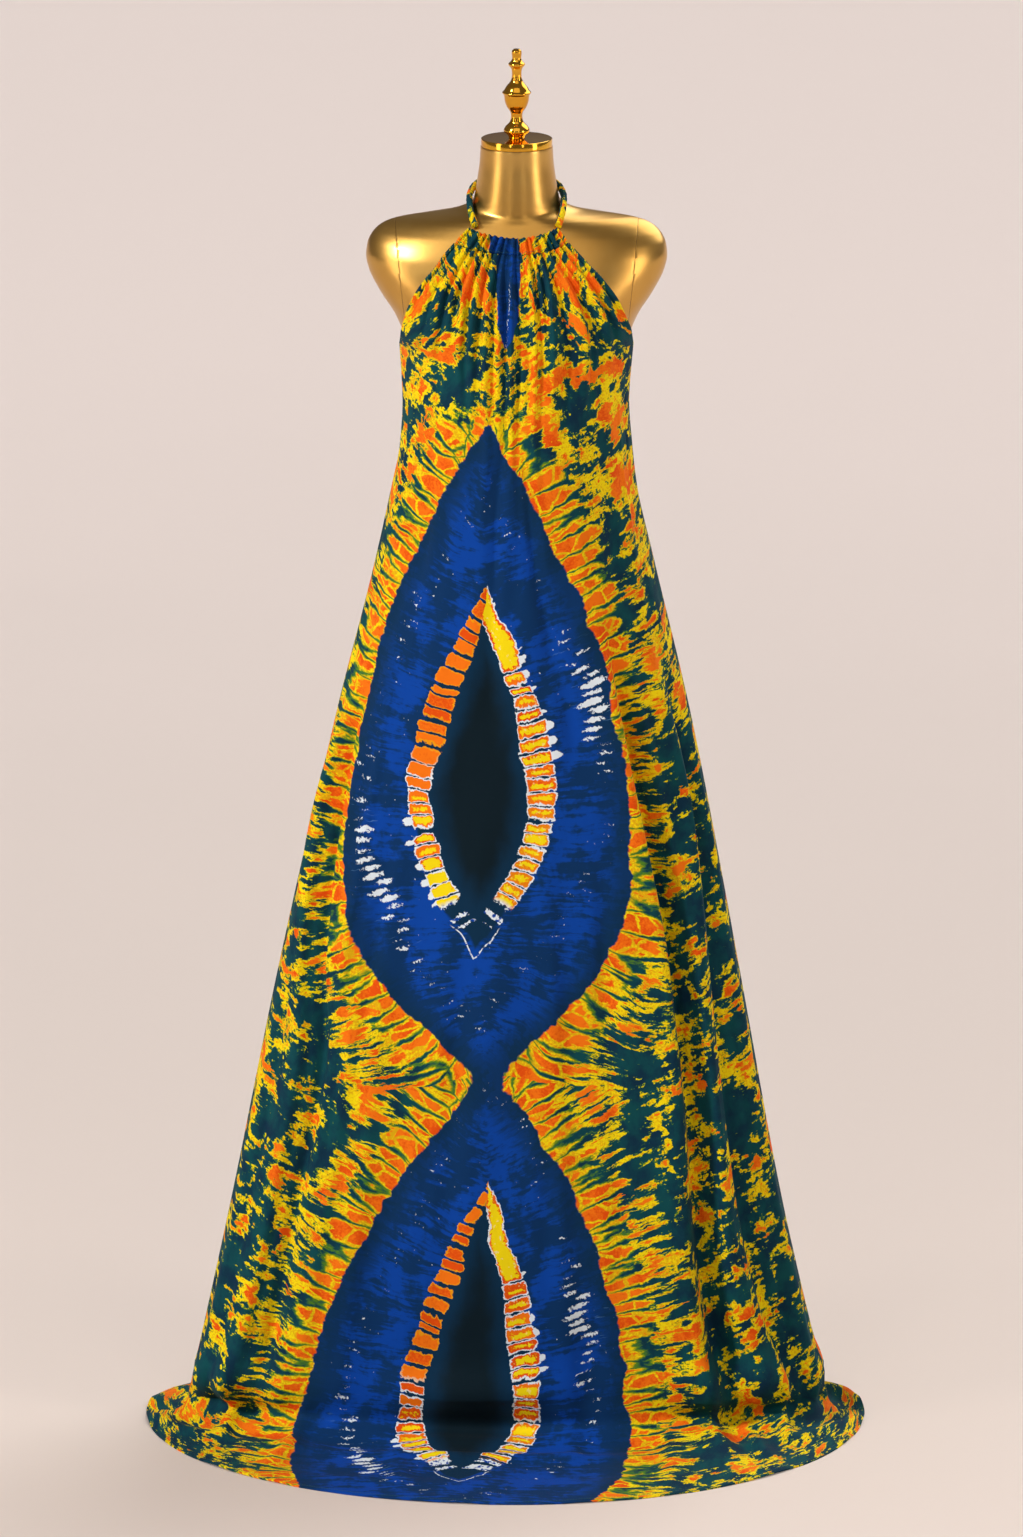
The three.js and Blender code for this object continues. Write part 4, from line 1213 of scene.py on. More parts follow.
    def dashes(self, at: RingPlace, ground: Wire) -> Wire:
        """Colour with the white dashes that radiate outside the ring, and fine white specks."""
        g, right, along, outer = at.graph, at.right, at.along, at.outer
        centre = g.mix(right, 108.0, -112.0)
        spread = (along - centre) / g.mix(right, 92.0, 72.0)
        where = g.math("EXPONENT", -(spread * spread))
        ragged = g.uneven(at.x, at.y, (4.0, 4.0), 5.0, 3.0, 0.6)
        beat = along / self.dash_pitch + right * 30.0 + at.lower * 70.0 + self.seed
        row = g.math("FLOOR", beat)
        chance, again = g.chance(row), g.chance(row + 0.61)
        size = where * 1.25 - chance * 0.75
        dash_x = (g.math("FRACT", beat) - 0.5) * self.dash_pitch / self.dash_half[0]
        dash_y = (outer - self.dash_reach - (again - 0.5) * 22.0) / self.dash_half[1]
        shape = size - dash_x * dash_x - dash_y * dash_y + ragged * 3.4
        white = g.step(shape, 0.02, 0.4) * g.step(outer, 30.0, 40.0)
        colour = g.tint(white * 0.95, ground, self.undyed)
        rays = g.patchy(along, outer, (3.2, 34.0), right * 6.0 + at.lower * 3.0)
        pale = g.step(rays, 0.66, 0.74) * g.step(where, 0.1, 0.7) * g.step(outer, 20.0, 45.0)
        colour = g.tint(pale * 0.35 * g.step(outer, 108.0, 85.0), colour, self.sky)
        dots = g.cells(g.vector(at.x / 10.0, at.y / 13.0, 1.0), "F1")
        thin = g.patchy(at.x, at.y, (50.0, 50.0), 4.0)
        dust = g.step(dots, 0.08, 0.045) * g.step(thin, 0.48, 0.6) * g.step(outer, 110.0, 70.0)
        return g.tint(dust * 0.7 * g.step(outer, 0.0, 6.0), colour, self.undyed)

    def cloth_surface(
        self,
        g: Graph,
        shader: bpy.types.Node,
        colour: Wire,
        cloth: Wire,
        weave: bpy.types.NodeTree,
    ) -> None:
        """Feed the shader: colour, roughness, weave and slight crumpling."""
        across, down, _ = g.split(cloth)
        height = g.group(weave, Cloth=cloth, Pitch=self.thread_pitch)["Height"]
        crumple = g.noise(g.vector(across * 38.0, down * 22.0, self.seed), 3.0, 0.5)
        g.bump(shader, height * self.weave_relief + crumple * self.crumple_relief, 0.6)
        g.set(shader, Base_Color=colour, Roughness=self.roughness, Specular_IOR_Level=0.1,
              Sheen_Weight=0.015, Sheen_Roughness=0.5)


@dataclass(frozen=True)
class Metal:
    """A metallic finish: colour, gloss and how unevenly it has been handled."""

    name: str
    light: str
    dark: str
    smooth: float
    rough: float
    cloud_scale: float
    streaks: float
    relief: float
    coat: float = 0.0

    def build(self, wear: bpy.types.NodeTree) -> bpy.types.Material:
        """Make the material from the shared wear group."""
        material, g, shader = start_material(self.name)
        place = Wire(g, g.node("ShaderNodeTexCoord").outputs["Object"])
        found = g.group(wear, Place=place, Scale=self.cloud_scale, Streaks=self.streaks)
        cloud = g.step(found["Cloud"], 0.3, 0.7)
        gloss = g.mix(found["Grain"], self.smooth, self.rough)
        g.bump(shader, found["Grain"] * self.relief, 0.5)
        g.set(shader, Base_Color=g.tint(cloud, self.dark, self.light), Roughness=gloss,
              Metallic=1.0, Coat_Weight=self.coat, Coat_Roughness=0.12)
        return material


@dataclass(frozen=True)
class Thread:
    """Sewing thread in the cloth's petrol green."""

    name: str = "petrol_thread"
    light: str = "2F6E6C"
    dark: str = "123F44"

    def build(self) -> bpy.types.Material:
        """Make the material, twisted along object coordinates."""
        material, g, shader = start_material(self.name)
        place = Wire(g, g.node("ShaderNodeTexCoord").outputs["Object"])
        x, y, z = g.split(place)
        twist = g.noise(g.vector(x * 900.0, y * 900.0, z * 900.0), 2.0)
        g.set(shader, Base_Color=g.tint(twist, self.dark, self.light), Roughness=0.6)
        return material


@dataclass
class Finishes:
    """All finishes, built once."""

    front: bpy.types.Material
    back: bpy.types.Material
    gold: bpy.types.Material
    brass: bpy.types.Material
    thread: bpy.types.Material

    @classmethod
    def make(cls) -> "Finishes":
        """Build the shared groups and every material."""
        leaf, weave, wear = leaf_group(), weave_group(), wear_group()
        gold = Metal("satin_gold_lacquer", "DCB062", "CB9A4C", 0.27, 0.35, 7.0, 260.0, 0.00001)
        brass = Metal("polished_brass", "F0B73E", "D7952A", 0.07, 0.16, 14.0, 2600.0, 0.000012)
        return cls(
            front=DyedCotton("resist_dyed_cotton").build(leaf, weave),
            back=DyedCotton("resist_dyed_cotton_back", seed=21.0).build(leaf, weave),
            gold=gold.build(wear),
            brass=brass.build(wear),
            thread=Thread().build(),
        )


# ---------------------------------------------------------------------------------------------
# The dress
# ---------------------------------------------------------------------------------------------
def place_piece(piece: bpy.types.Object, slot: str, *nodes: str) -> bpy.types.Object:
    """Let a piece ride on the one body, and hide the nodes that it stands for."""
    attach(piece, "root")
    if nodes:
        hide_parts(*nodes)
    log.info("%s: %d faces", piece.name, len(piece.data.polygons))
    return piece


@dataclass
class Panel:
    """One large panel of the dress, from its top edge to its hem on the floor."""

    side: Side
    name: str
    folds: Sequence[Fold]
    creases: Sequence[Fold]
    columns: int
    rows: Sequence[tuple[float, float, int]]
    sections: dict[str, Curve] = field(default_factory=lambda: curves(DRESS_SECTIONS))
    armhole: dict[str, Curve] = field(default_factory=lambda: curves(ARMHOLE))
    centre: dict[str, Curve] = field(default_factory=lambda: curves(CENTRE_FRONT))

    def skirt_point(self, angle: np.ndarray, z: np.ndarray) -> np.ndarray:
        """Point of the unfolded skirt at an angle round it and a height."""
        half = np.where(angle < 0, self.sections["left"](z), self.sections["right"](z))
        depth = self.sections[self.side.name.lower()](z)
        y = SEAM_Y + self.side.value * depth * np.cos(angle)
        return together(half * np.sin(angle), y, z)

    def chest_point(self, angle: np.ndarray, v: np.ndarray) -> np.ndarray:
        """Point of the unfolded front above the underarm level, v from 0 to 1."""
        ahead = np.cos(angle)
        half = np.where(angle < 0, self.armhole["left"](v), self.armhole["right"](v))
        y = lerp(self.armhole["y"](v), self.centre["y"](v), ahead)
        z = lerp(self.armhole["z"](v), self.centre["z"](v), ahead**2)
        return together(half * np.sin(angle), y, z)

    def surface(self, u: np.ndarray, v: np.ndarray) -> np.ndarray:
        """Unfolded surface: v 0-1 chest, 1-2 skirt, 2-3 turn onto the floor, 3-4 floor."""
        angle = u * np.pi / 2
        ahead = np.cos(angle)
        radius = lerp(BREAK_RADIUS["side"], BREAK_RADIUS[self.side], ahead**2)
        dip = BACK_TOP_DIP if self.side is Side.BACK else 0.0
        turn_top = radius + CLOTH_WALL
        z = lerp(UNDERARM_Z - dip * ahead**2, turn_top, np.clip(v - 1, 0, 1))
        chest = self.chest_point(angle, np.clip(v, 0, 1))
        skirt = self.skirt_point(angle, z)
        start = self.skirt_point(angle, turn_top)
        reach = np.where(angle < 0, HEM_REACH["left"], HEM_REACH["right"])
        hem_y = SEAM_Y + self.side.value * (HEM_REACH[self.side] - self.side.value * SEAM_Y) * ahead
        end = together(reach * np.sin(angle), hem_y, turn_top)
        train = np.linalg.norm(end - start, axis=-1)
        roll = np.clip(v - 2, 0, 1) * np.pi / 2
        out = np.where(v <= 3, radius * (1 - np.cos(roll)), lerp(radius, train, v - 3))
        floor = start + unit(end - start) * out[..., None]
        floor[..., 2] = CLOTH_WALL + radius * (1 - np.sin(roll))
        grid = (v + 0 * u)[..., None]
        return np.where(grid < 1, chest, np.where(grid <= 2, skirt, floor))

    def normals(self, u: np.ndarray, v: np.ndarray) -> np.ndarray:
        """Unit normals of the unfolded surface, away from the body or up from the floor."""
        low = 0 if self.side is Side.FRONT else 1
        west, east = neighbours(u, -1, 1)
        above, below = neighbours(v, low, 4)
        across = self.surface(east, v) - self.surface(west, v)
        down = self.surface(u, below) - self.surface(u, above)
        return unit(np.cross(across, down)) * self.side.value

    @staticmethod
    def fold_height(folds: Sequence[Fold], angle: np.ndarray, level: np.ndarray) -> np.ndarray:
        """Height of all folds at an angle and a level, with hollows settled at the floor."""
        height = np.zeros(np.broadcast(angle, level).shape)
        for fold in folds:
            path = fold.path
            middle = Curve(*zip(*path))(level) if isinstance(path, tuple) else path
            offset = angle - middle - fold.shift
            reach = np.where(offset < 0, fold.left, fold.right)
            most = min(fold.blend, FOLD_BLEND_MOST)
            low_blend = min(most, max(FOLD_BLEND_LEAST, -fold.bottom))
            grown = 1 - smoothstep(level, fold.top - most, fold.top)
            kept = smoothstep(level, fold.bottom, fold.bottom + low_blend)
            height += fold.height * grown * kept * np.exp(-((offset / reach) ** 2))
        settled = height * np.clip(level / FLOOR_SETTLE, 0, 1)
        return np.where(height < 0, settled, height)

    def gather_height(self, u: np.ndarray, drop: np.ndarray) -> np.ndarray:
        """Height of the gathers below the panel's top edge."""
        if self.side is Side.BACK:
            kept = 1 - smoothstep(drop, 0, BACK_GATHER_LENGTH)
            wave = 0.5 + 0.5 * np.cos(u * BACK_GATHER_COUNT * np.pi)
            return BACK_GATHER_HEIGHT * kept * wave
        return front_gathers(u, drop)

    def grid(self) -> tuple[np.ndarray, np.ndarray]:
        """Places of the columns (a row) and of the rows (a column) of the panel's vertices."""
        lists = [np.linspace(low, high, steps + 1)[1:] for low, high, steps in self.rows]
        v = np.concatenate([[self.rows[0][0]], *lists])
        return np.linspace(-1, 1, self.columns + 1)[None, :], v[:, None]

    def chest_rows(self) -> int:
        """How many rows of vertices lie above the underarm level, with that level's own."""
        return sum(steps for _, high, steps in self.rows if high <= 1) + 1

    def flat_cloth(self, u: np.ndarray, v: np.ndarray, outer: np.ndarray) -> np.ndarray:
        """Where each vertex lay on the flat cloth, in metres across and down."""
        along = arcs(outer)
        middle = along[:, [self.columns // 2]]
        fullness = lerp(CASING_FULLNESS, 1, smoothstep(v, 0, 1))
        across = (along - middle) * fullness
        radius = lerp(BREAK_RADIUS["side"], BREAK_RADIUS[self.side], np.cos(u * np.pi / 2) ** 2)
        base = self.surface(u, v)
        fallen = CHEST_DROP + UNDERARM_Z - np.maximum(base[..., 2], radius + CLOTH_WALL)
        turned = radius * np.clip(v - 2, 0, 1) * np.pi / 2
        laid = np.linalg.norm(base - self.surface(u, np.minimum(v, 3)), axis=-1) * (v > 3)
        down = np.where(v < 1, CHEST_DROP * v, fallen + turned + laid)
        return np.stack([across, down], axis=-1) * MM

    def build(self, material: bpy.types.Material) -> bpy.types.Object:
        """Make the panel's cloth."""
        u, v = self.grid()
        base = self.surface(u, v)
        normals = self.normals(u, v)
        laid = np.linalg.norm(base - self.surface(u, np.minimum(v, 3)), axis=-1)
        level = np.where(v <= 3, base[..., 2] - CLOTH_WALL, -laid)
        top = self.surface(np.zeros((1, 1)), np.full((1, 1), float(self.rows[0][0])))[0, 0, 2]
        drop = top - base[..., 2]
        fade = smoothstep(90 - np.abs(u * 90), 0, SEAM_FLAT)
        folds = (*self.folds, *self.creases)
        height = (self.fold_height(folds, u * 90, level) + self.gather_height(u, drop)) * fade
        height = height + (undulation(u * 90, level) + floor_break(u * 90, level)) * fade
        height = np.maximum(height, CLOTH + CLEAR_OF_FLOOR - base[..., 2])
        base[..., 1] += self.side.value * GAP / 2
        outer = base + normals * height[..., None]
        inner = base + normals * (height - CLOTH)[..., None]
        cloth = self.flat_cloth(u, v, outer)
        self.outer, self.cloth = outer, cloth
        return make_shell(self.name, outer, inner, cloth, material)


def front_gathers(u: np.ndarray, drop: np.ndarray) -> np.ndarray:
    """Height of the gathers below the casing, drop millimetres down the front."""
    lifted = smoothstep(drop, 0, STAND_OFF_RISE) * (1 - smoothstep(drop, *STAND_OFF_FADE))
    height = np.broadcast_to(STAND_OFF * lifted, np.broadcast(u, drop).shape).copy()
    for gather in (*GATHERS, *RIDGES, *VALLEYS):
        fallen = np.clip(drop / gather.length, 0, 1)
        kept = 1 - smoothstep(fallen, GATHER_FADE_START, 1)
        risen = lerp(GATHER_RISE_FROM, 1, smoothstep(drop, 0, GATHER_RISE_OVER))
        place = lerp(gather.top, gather.low, smoothstep(drop, 0, GATHER_SPREAD))
        height += gather.height * kept * risen * np.exp(-(((u - place) / gather.width) ** 2))
    return height


class Wave(NamedTuple):
    """One slow wave in the hang of the cloth: degrees round, millimetres down, phase, height."""

    round: float
    down: float
    phase: float
    height: float


SLOW_WAVES = (
    Wave(31, 520, 0.4, 0.7), Wave(-17, 340, 2.1, 0.45), Wave(11, -610, 4.0, 0.35),
    Wave(-8.3, 260, 1.3, 0.22), Wave(23, -190, 5.2, 0.3),
)


def undulation(angle: np.ndarray, level: np.ndarray) -> np.ndarray:
    """Slight unevenness of hanging cloth, from the slow waves, none at the chest's top."""
    height = np.zeros(np.broadcast(angle, level).shape)
    for wave in SLOW_WAVES:
        turn = angle / wave.round + level / wave.down
        height += wave.height * np.sin(2 * np.pi * turn + wave.phase)
    return height * smoothstep(-level, -WAVES_NONE_ABOVE, -WAVES_FULL_BELOW)


class Rise(NamedTuple):
    """A ridge or hollow that runs across the cloth where it meets the floor."""

    level: float
    height: float
    reach: float
    waves: float
    phase: float


FLOOR_BREAK = (
    Rise(66, 18.0, 24, 3.4, 2.4),
    Rise(25, -21.0, 11, 3.4, 2.4),
    Rise(-22, 8.0, 14, 2.3, 1.9),
    Rise(-88, -1.6, 16, 4.1, 0.8),
    Rise(-120, 2.2, 15, 3.1, 4.2),
)


def floor_break(angle: np.ndarray, level: np.ndarray) -> np.ndarray:
    """Height of the folds across the cloth at the floor, uneven round the dress."""
    height = np.zeros(np.broadcast(angle, level).shape)
    for rise in FLOOR_BREAK:
        uneven = 0.6 + 0.4 * np.sin(np.radians(angle) * rise.waves * 2 + rise.phase)
        height += rise.height * uneven * np.exp(-(((level - rise.level) / rise.reach) ** 2))
    return height


@dataclass
class NeckCasing:
    """The gathered casing along the neckline."""

    columns: int = 260
    rows: int = 16
    puckers: int = 25
    pucker_height: float = 0.9

    def point(self, u: np.ndarray, down: np.ndarray) -> np.ndarray:
        """Point of the unpuffed casing, down = 0 at its top edge."""
        angle = u * np.pi / 2
        edge = CasingEdge(*(lerp(a, b, down) for a, b in zip(CASING_TOP, CASING_BOTTOM)))
        half = np.where(angle < 0, edge.left, edge.right)
        ahead = np.cos(angle)
        y = lerp(edge.end_y, edge.y, ahead)
        z = lerp(edge.end_z, edge.z, ahead**2)
        return together(half * np.sin(angle), y, z)

    def build(self, material: bpy.types.Material) -> bpy.types.Object:
        """Make the casing's doubled cloth, pinched in small puckers."""
        u = np.linspace(-1, 1, self.columns + 1)[None, :]
        v = np.linspace(0, 1, self.rows + 1)[:, None]
        depth = np.linalg.norm(self.point(np.zeros((1, 1)), np.ones((1, 1)))
                               - self.point(np.zeros((1, 1)), np.zeros((1, 1))))
        down = v * (1 - GAP / depth)
        west, east = neighbours(u, -1, 1)
        across = self.point(east, down) - self.point(west, down)
        along = self.point(u, np.ones_like(v)) - self.point(u, np.zeros_like(v))
        normals = -unit(np.cross(across, along))
        fade = smoothstep(90 - np.abs(u * 90), 0, SEAM_FLAT)
        gathers = front_gathers(u, np.zeros_like(v))
        beat = u * self.puckers + 0.35 * np.sin(9 * u) + 0.3 * np.sin(17 * u + 1)
        pucker = np.sin(np.pi * beat + 0.6 * np.sin(3 * v)) * (0.6 + 0.4 * np.sin(23 * u))
        pinch = np.exp(-(((v - CASING_STITCH) / PINCH_REACH) ** 2))
        height = (gathers + self.pucker_height * pucker * (1 - 0.5 * pinch)) * fade
        height = height + CASING_PUFF * np.sin(np.pi * v) ** 0.7 - PINCH_DEPTH * pinch
        base = self.point(u, down)
        outer = base + normals * height[..., None]
        inner = base + normals * (height - CASING_CLOTH)[..., None]
        arc = arcs(base)
        flat_x = (arc - arc[:, [self.columns // 2]]) * CASING_FULLNESS
        cloth = np.stack([flat_x, (v - 1) * depth + 0 * u], axis=-1) * MM
        self.stitch_line = outer[int(round(CASING_STITCH * self.rows))]
        return make_shell("neck_casing_cloth", outer, inner, cloth, material)


@dataclass
class HalterStrap:
    """The narrow strap of turned cloth that runs round the neck."""

    steps: int = 320
    columns: int = 28
    wrinkle: float = 0.35
    wrinkle_length: float = 9.0

    def build(self, material: bpy.types.Material) -> bpy.types.Object:
        """Make the strap as a slightly wrinkled flat tube."""
        right = np.array(STRAP_ROUTE, float)
        left = right * (-1, 1, 1)
        route = catmull(np.vstack([left, right[::-1][1:]]), STRAP_SPLINE_STEPS)
        centres = even_along(route, self.steps)
        length = float(np.linalg.norm(np.diff(centres, axis=0), axis=1).sum())
        width, depth = tube_axes(centres, centres * (1, 1, 0))
        angle = turns(self.columns)[None, :, None]
        place = np.linspace(0, length, self.steps + 1)[:, None, None]
        ripple = np.sin(2 * np.pi * place / self.wrinkle_length + 2 * np.cos(angle))
        ripple = ripple * np.sin(place / 13 + 1) + 0.6 * np.sin(place / 2.3 + 3 * angle)
        thin = 1 + self.wrinkle * (ripple - 1.2) / (STRAP_THICKNESS / 2) * 0.5
        ring = (STRAP_WIDTH / 2) * np.cos(angle) * width
        ring = ring + (STRAP_THICKNESS / 2) * np.sin(angle) * depth
        points = centres[:, None, :] + ring * thin
        girth = np.pi * (STRAP_WIDTH + STRAP_THICKNESS) / 2
        across = STRAP_FLAT_PLACE[0] + girth * angle[..., 0] / (2 * np.pi)
        down = STRAP_FLAT_PLACE[1] + place[..., 0]
        return make_tube("halter_strap_cloth", points, together(across, down) * MM, material)


@dataclass
class EdgeRoll:
    """A narrow rolled edge that follows a row of cloth points."""

    radius: float = 1.3
    sides: int = 8

    def build(
        self, name: str, path: np.ndarray, flat: np.ndarray, material: bpy.types.Material
    ) -> bpy.types.Object:
        """Make the roll.

        Args:
            name: the piece's name.
            path: points of the cloth's edge, in millimetres.
            flat: where each of them lay on the flat cloth, in metres.
            material: the cloth's finish.

        Returns:
            The roll.
        """
        along = even_along(np.hstack([path, flat]), max(40, len(path)))
        centres, cloth = along[:, :3], along[:, 3:]
        width, depth = tube_axes(centres, ROLL_ASIDE)
        angle = turns(self.sides)[None, :, None]
        ring = np.cos(angle) * width + np.sin(angle) * depth
        points = centres[:, None, :] + self.radius * ring
        round_it = self.radius * MM * np.sin(angle) * np.ones(2)
        return make_tube(name, points, cloth[:, None, :] + round_it, material)


@dataclass
class StitchRow:
    """Running stitches laid along a line by a node tree."""

    pitch: float = 3.6
    length: float = 2.5
    radius: float = 0.32

    def tree(self, material: bpy.types.Material) -> bpy.types.NodeTree:
        """The node tree: its inputs are the pitch, the stitch's length and its radius."""
        tree = bpy.data.node_groups.new("stitch_row", "GeometryNodeTree")
        face = tree.interface
        face.new_socket("Line", in_out="INPUT", socket_type="NodeSocketGeometry")
        for name in ("Pitch", "Length", "Radius"):
            face.new_socket(name, in_out="INPUT", socket_type="NodeSocketFloat")
        face.new_socket("Stitches", in_out="OUTPUT", socket_type="NodeSocketGeometry")
        g = Graph(tree)
        entry = g.node("NodeGroupInput")
        curve = g.node("GeometryNodeMeshToCurve")
        spaced = g.node("GeometryNodeResampleCurve", mode="LENGTH")
        tangent = g.node("GeometryNodeInputTangent")
        turn = g.node("FunctionNodeAlignRotationToVector", axis="X")
        ball = g.node("GeometryNodeMeshUVSphere")
        g.set(ball, Segments=6, Rings=4)
        size = g.node("ShaderNodeCombineXYZ")
        set_on = g.node("GeometryNodeInstanceOnPoints")
        real = g.node("GeometryNodeRealizeInstances")
        dress = g.node("GeometryNodeSetMaterial")
        g.set(dress, Material=material)
        half = g.math("MULTIPLY", Wire(g, entry.outputs["Length"]), 0.5)
        exit_node = g.node("NodeGroupOutput")
        for source, target in (
            (entry.outputs["Line"], curve.inputs[0]),
            (curve.outputs[0], spaced.inputs["Curve"]),
            (entry.outputs["Pitch"], spaced.inputs["Length"]),
            (tangent.outputs[0], turn.inputs["Vector"]),
            (half.socket, size.inputs["X"]),
            (entry.outputs["Radius"], size.inputs["Y"]),
            (entry.outputs["Radius"], size.inputs["Z"]),
            (spaced.outputs[0], set_on.inputs["Points"]),
            (ball.outputs["Mesh"], set_on.inputs["Instance"]),
            (turn.outputs[0], set_on.inputs["Rotation"]),
            (size.outputs[0], set_on.inputs["Scale"]),
            (set_on.outputs[0], real.inputs[0]),
            (real.outputs[0], dress.inputs["Geometry"]),
            (dress.outputs[0], exit_node.inputs[0]),
        ):
            tree.links.new(source, target)
        return tree

    def build(
        self, name: str, lines: Sequence[np.ndarray], material: bpy.types.Material
    ) -> bpy.types.Object:
        """Make one piece with stitches along every line.

        Args:
            name: the piece's name.
            lines: points of each line, in millimetres.
            material: the thread.

        Returns:
            The stitches as a plain mesh.
        """
        points, edges = [], []
        for line in lines:
            start = len(points)
            points.extend((line * MM).tolist())
            edges.extend((start + i, start + i + 1) for i in range(len(line) - 1))
        path = bpy.data.meshes.new(name + "_path")
        path.from_pydata(points, edges, [])
        holder = add_object(name + "_path", path)
        tree = self.tree(material)
        modifier = holder.modifiers.new("stitches", "NODES")
        modifier.node_group = tree
        keys = {item.name: item.identifier for item in tree.interface.items_tree}
        sizes = {"Pitch": self.pitch, "Length": self.length, "Radius": self.radius}
        for label, size in sizes.items():
            modifier[keys[label]] = size * MM
        graph = bpy.context.evaluated_depsgraph_get()
        mesh = bpy.data.meshes.new_from_object(holder.evaluated_get(graph))
        bpy.data.objects.remove(holder)
        mesh.name = name
        mesh.polygons.foreach_set("use_smooth", np.ones(len(mesh.polygons), bool))
        return add_object(name, mesh)


@dataclass
class Dress:
    """The whole dress: panels, casing, strap, rolled edges and stitches."""

    finishes: Finishes
    front: Panel = field(default_factory=lambda: Panel(
        Side.FRONT, "dress_front_cloth", FRONT_FOLDS, FRONT_CREASES, 208,
        ((0.001, 0.3, 26), (0.3, 1, 34), (1, 2, 92), (2, 3, 30), (3, 4, 26)),
    ))
    back: Panel = field(default_factory=lambda: Panel(
        Side.BACK, "dress_back_cloth", BACK_FOLDS, BACK_CREASES, 160,
        ((1, 1.15, 20), (1.15, 2, 70), (2, 3, 12), (3, 4, 14)),
    ))

    def build(self) -> None:
        cotton, thread = self.finishes.front, self.finishes.thread
        front = place_piece(self.front.build(cotton), "dyed_cotton", "dress_front")
        back = place_piece(self.back.build(self.finishes.back), "dyed_cotton", "dress_back")
        casing_maker = NeckCasing()
        casing = place_piece(casing_maker.build(cotton), "dyed_cotton", "neck_casing")
        place_piece(HalterStrap().build(cotton), "dyed_cotton", "halter_strap")
        front_trim = self.trim(self.front, "front", cotton)
        back_trim = self.trim(self.back, "back", self.finishes.back)
        for trim in (*front_trim, *back_trim):
            place_piece(trim, "dyed_cotton")
        stitches = StitchRow().build("dress_stitches", self.stitch_lines(casing_maker), thread)
        place_piece(stitches, "dyed_cotton")

    def trim(
        self, panel: Panel, name: str, cotton: bpy.types.Material
    ) -> list[bpy.types.Object]:
        """Rolled edges of a panel: hem, and armholes or top edge."""
        outer, flat = panel.outer, panel.cloth
        edge = outer[-1] - (0, 0, HEM_ROLL_DROP)
        hem = EdgeRoll(HEM_ROLL).build(f"{name}_hem_roll", edge, flat[-1], cotton)
        if panel.side is Side.BACK:
            edge = outer[0] - (0, 0, TOP_ROLL_DROP)
            return [hem, EdgeRoll(EDGE_ROLL).build(f"{name}_top_roll", edge, flat[0], cotton)]
        chest = panel.chest_rows()
        rolls = [hem]
        for side, column in (("left", 0), ("right", -1)):
            path, cloth = outer[:chest, column], flat[:chest, column]
            rolls.append(EdgeRoll(EDGE_ROLL).build(f"armhole_roll_{side}", path, cloth, cotton))
        return rolls

    def stitch_lines(self, casing: NeckCasing) -> list[np.ndarray]:
        """Lines of the visible stitches: casing, hems, armholes and the back's top edge."""
        front, back = self.front.outer, self.back.outer
        chest = self.front.chest_rows()
        lines = [casing.stitch_line]
        lines.extend(inset(outer[-1], outer[-2], HEM_INSET) for outer in (front, back))
        for edge, next_in in ((0, 3), (-1, -4)):
            lines.append(inset(front[:chest, edge], front[:chest, next_in], ARMHOLE_INSET))
        lines.append(inset(back[0], back[2], TOP_INSET))
        return [line[2:-2] for line in lines]


def inset(edge: np.ndarray, beside: np.ndarray, distance: float) -> np.ndarray:
    """Points a distance in from an edge, towards the row of points beside it."""
    return edge + unit(beside - edge) * distance


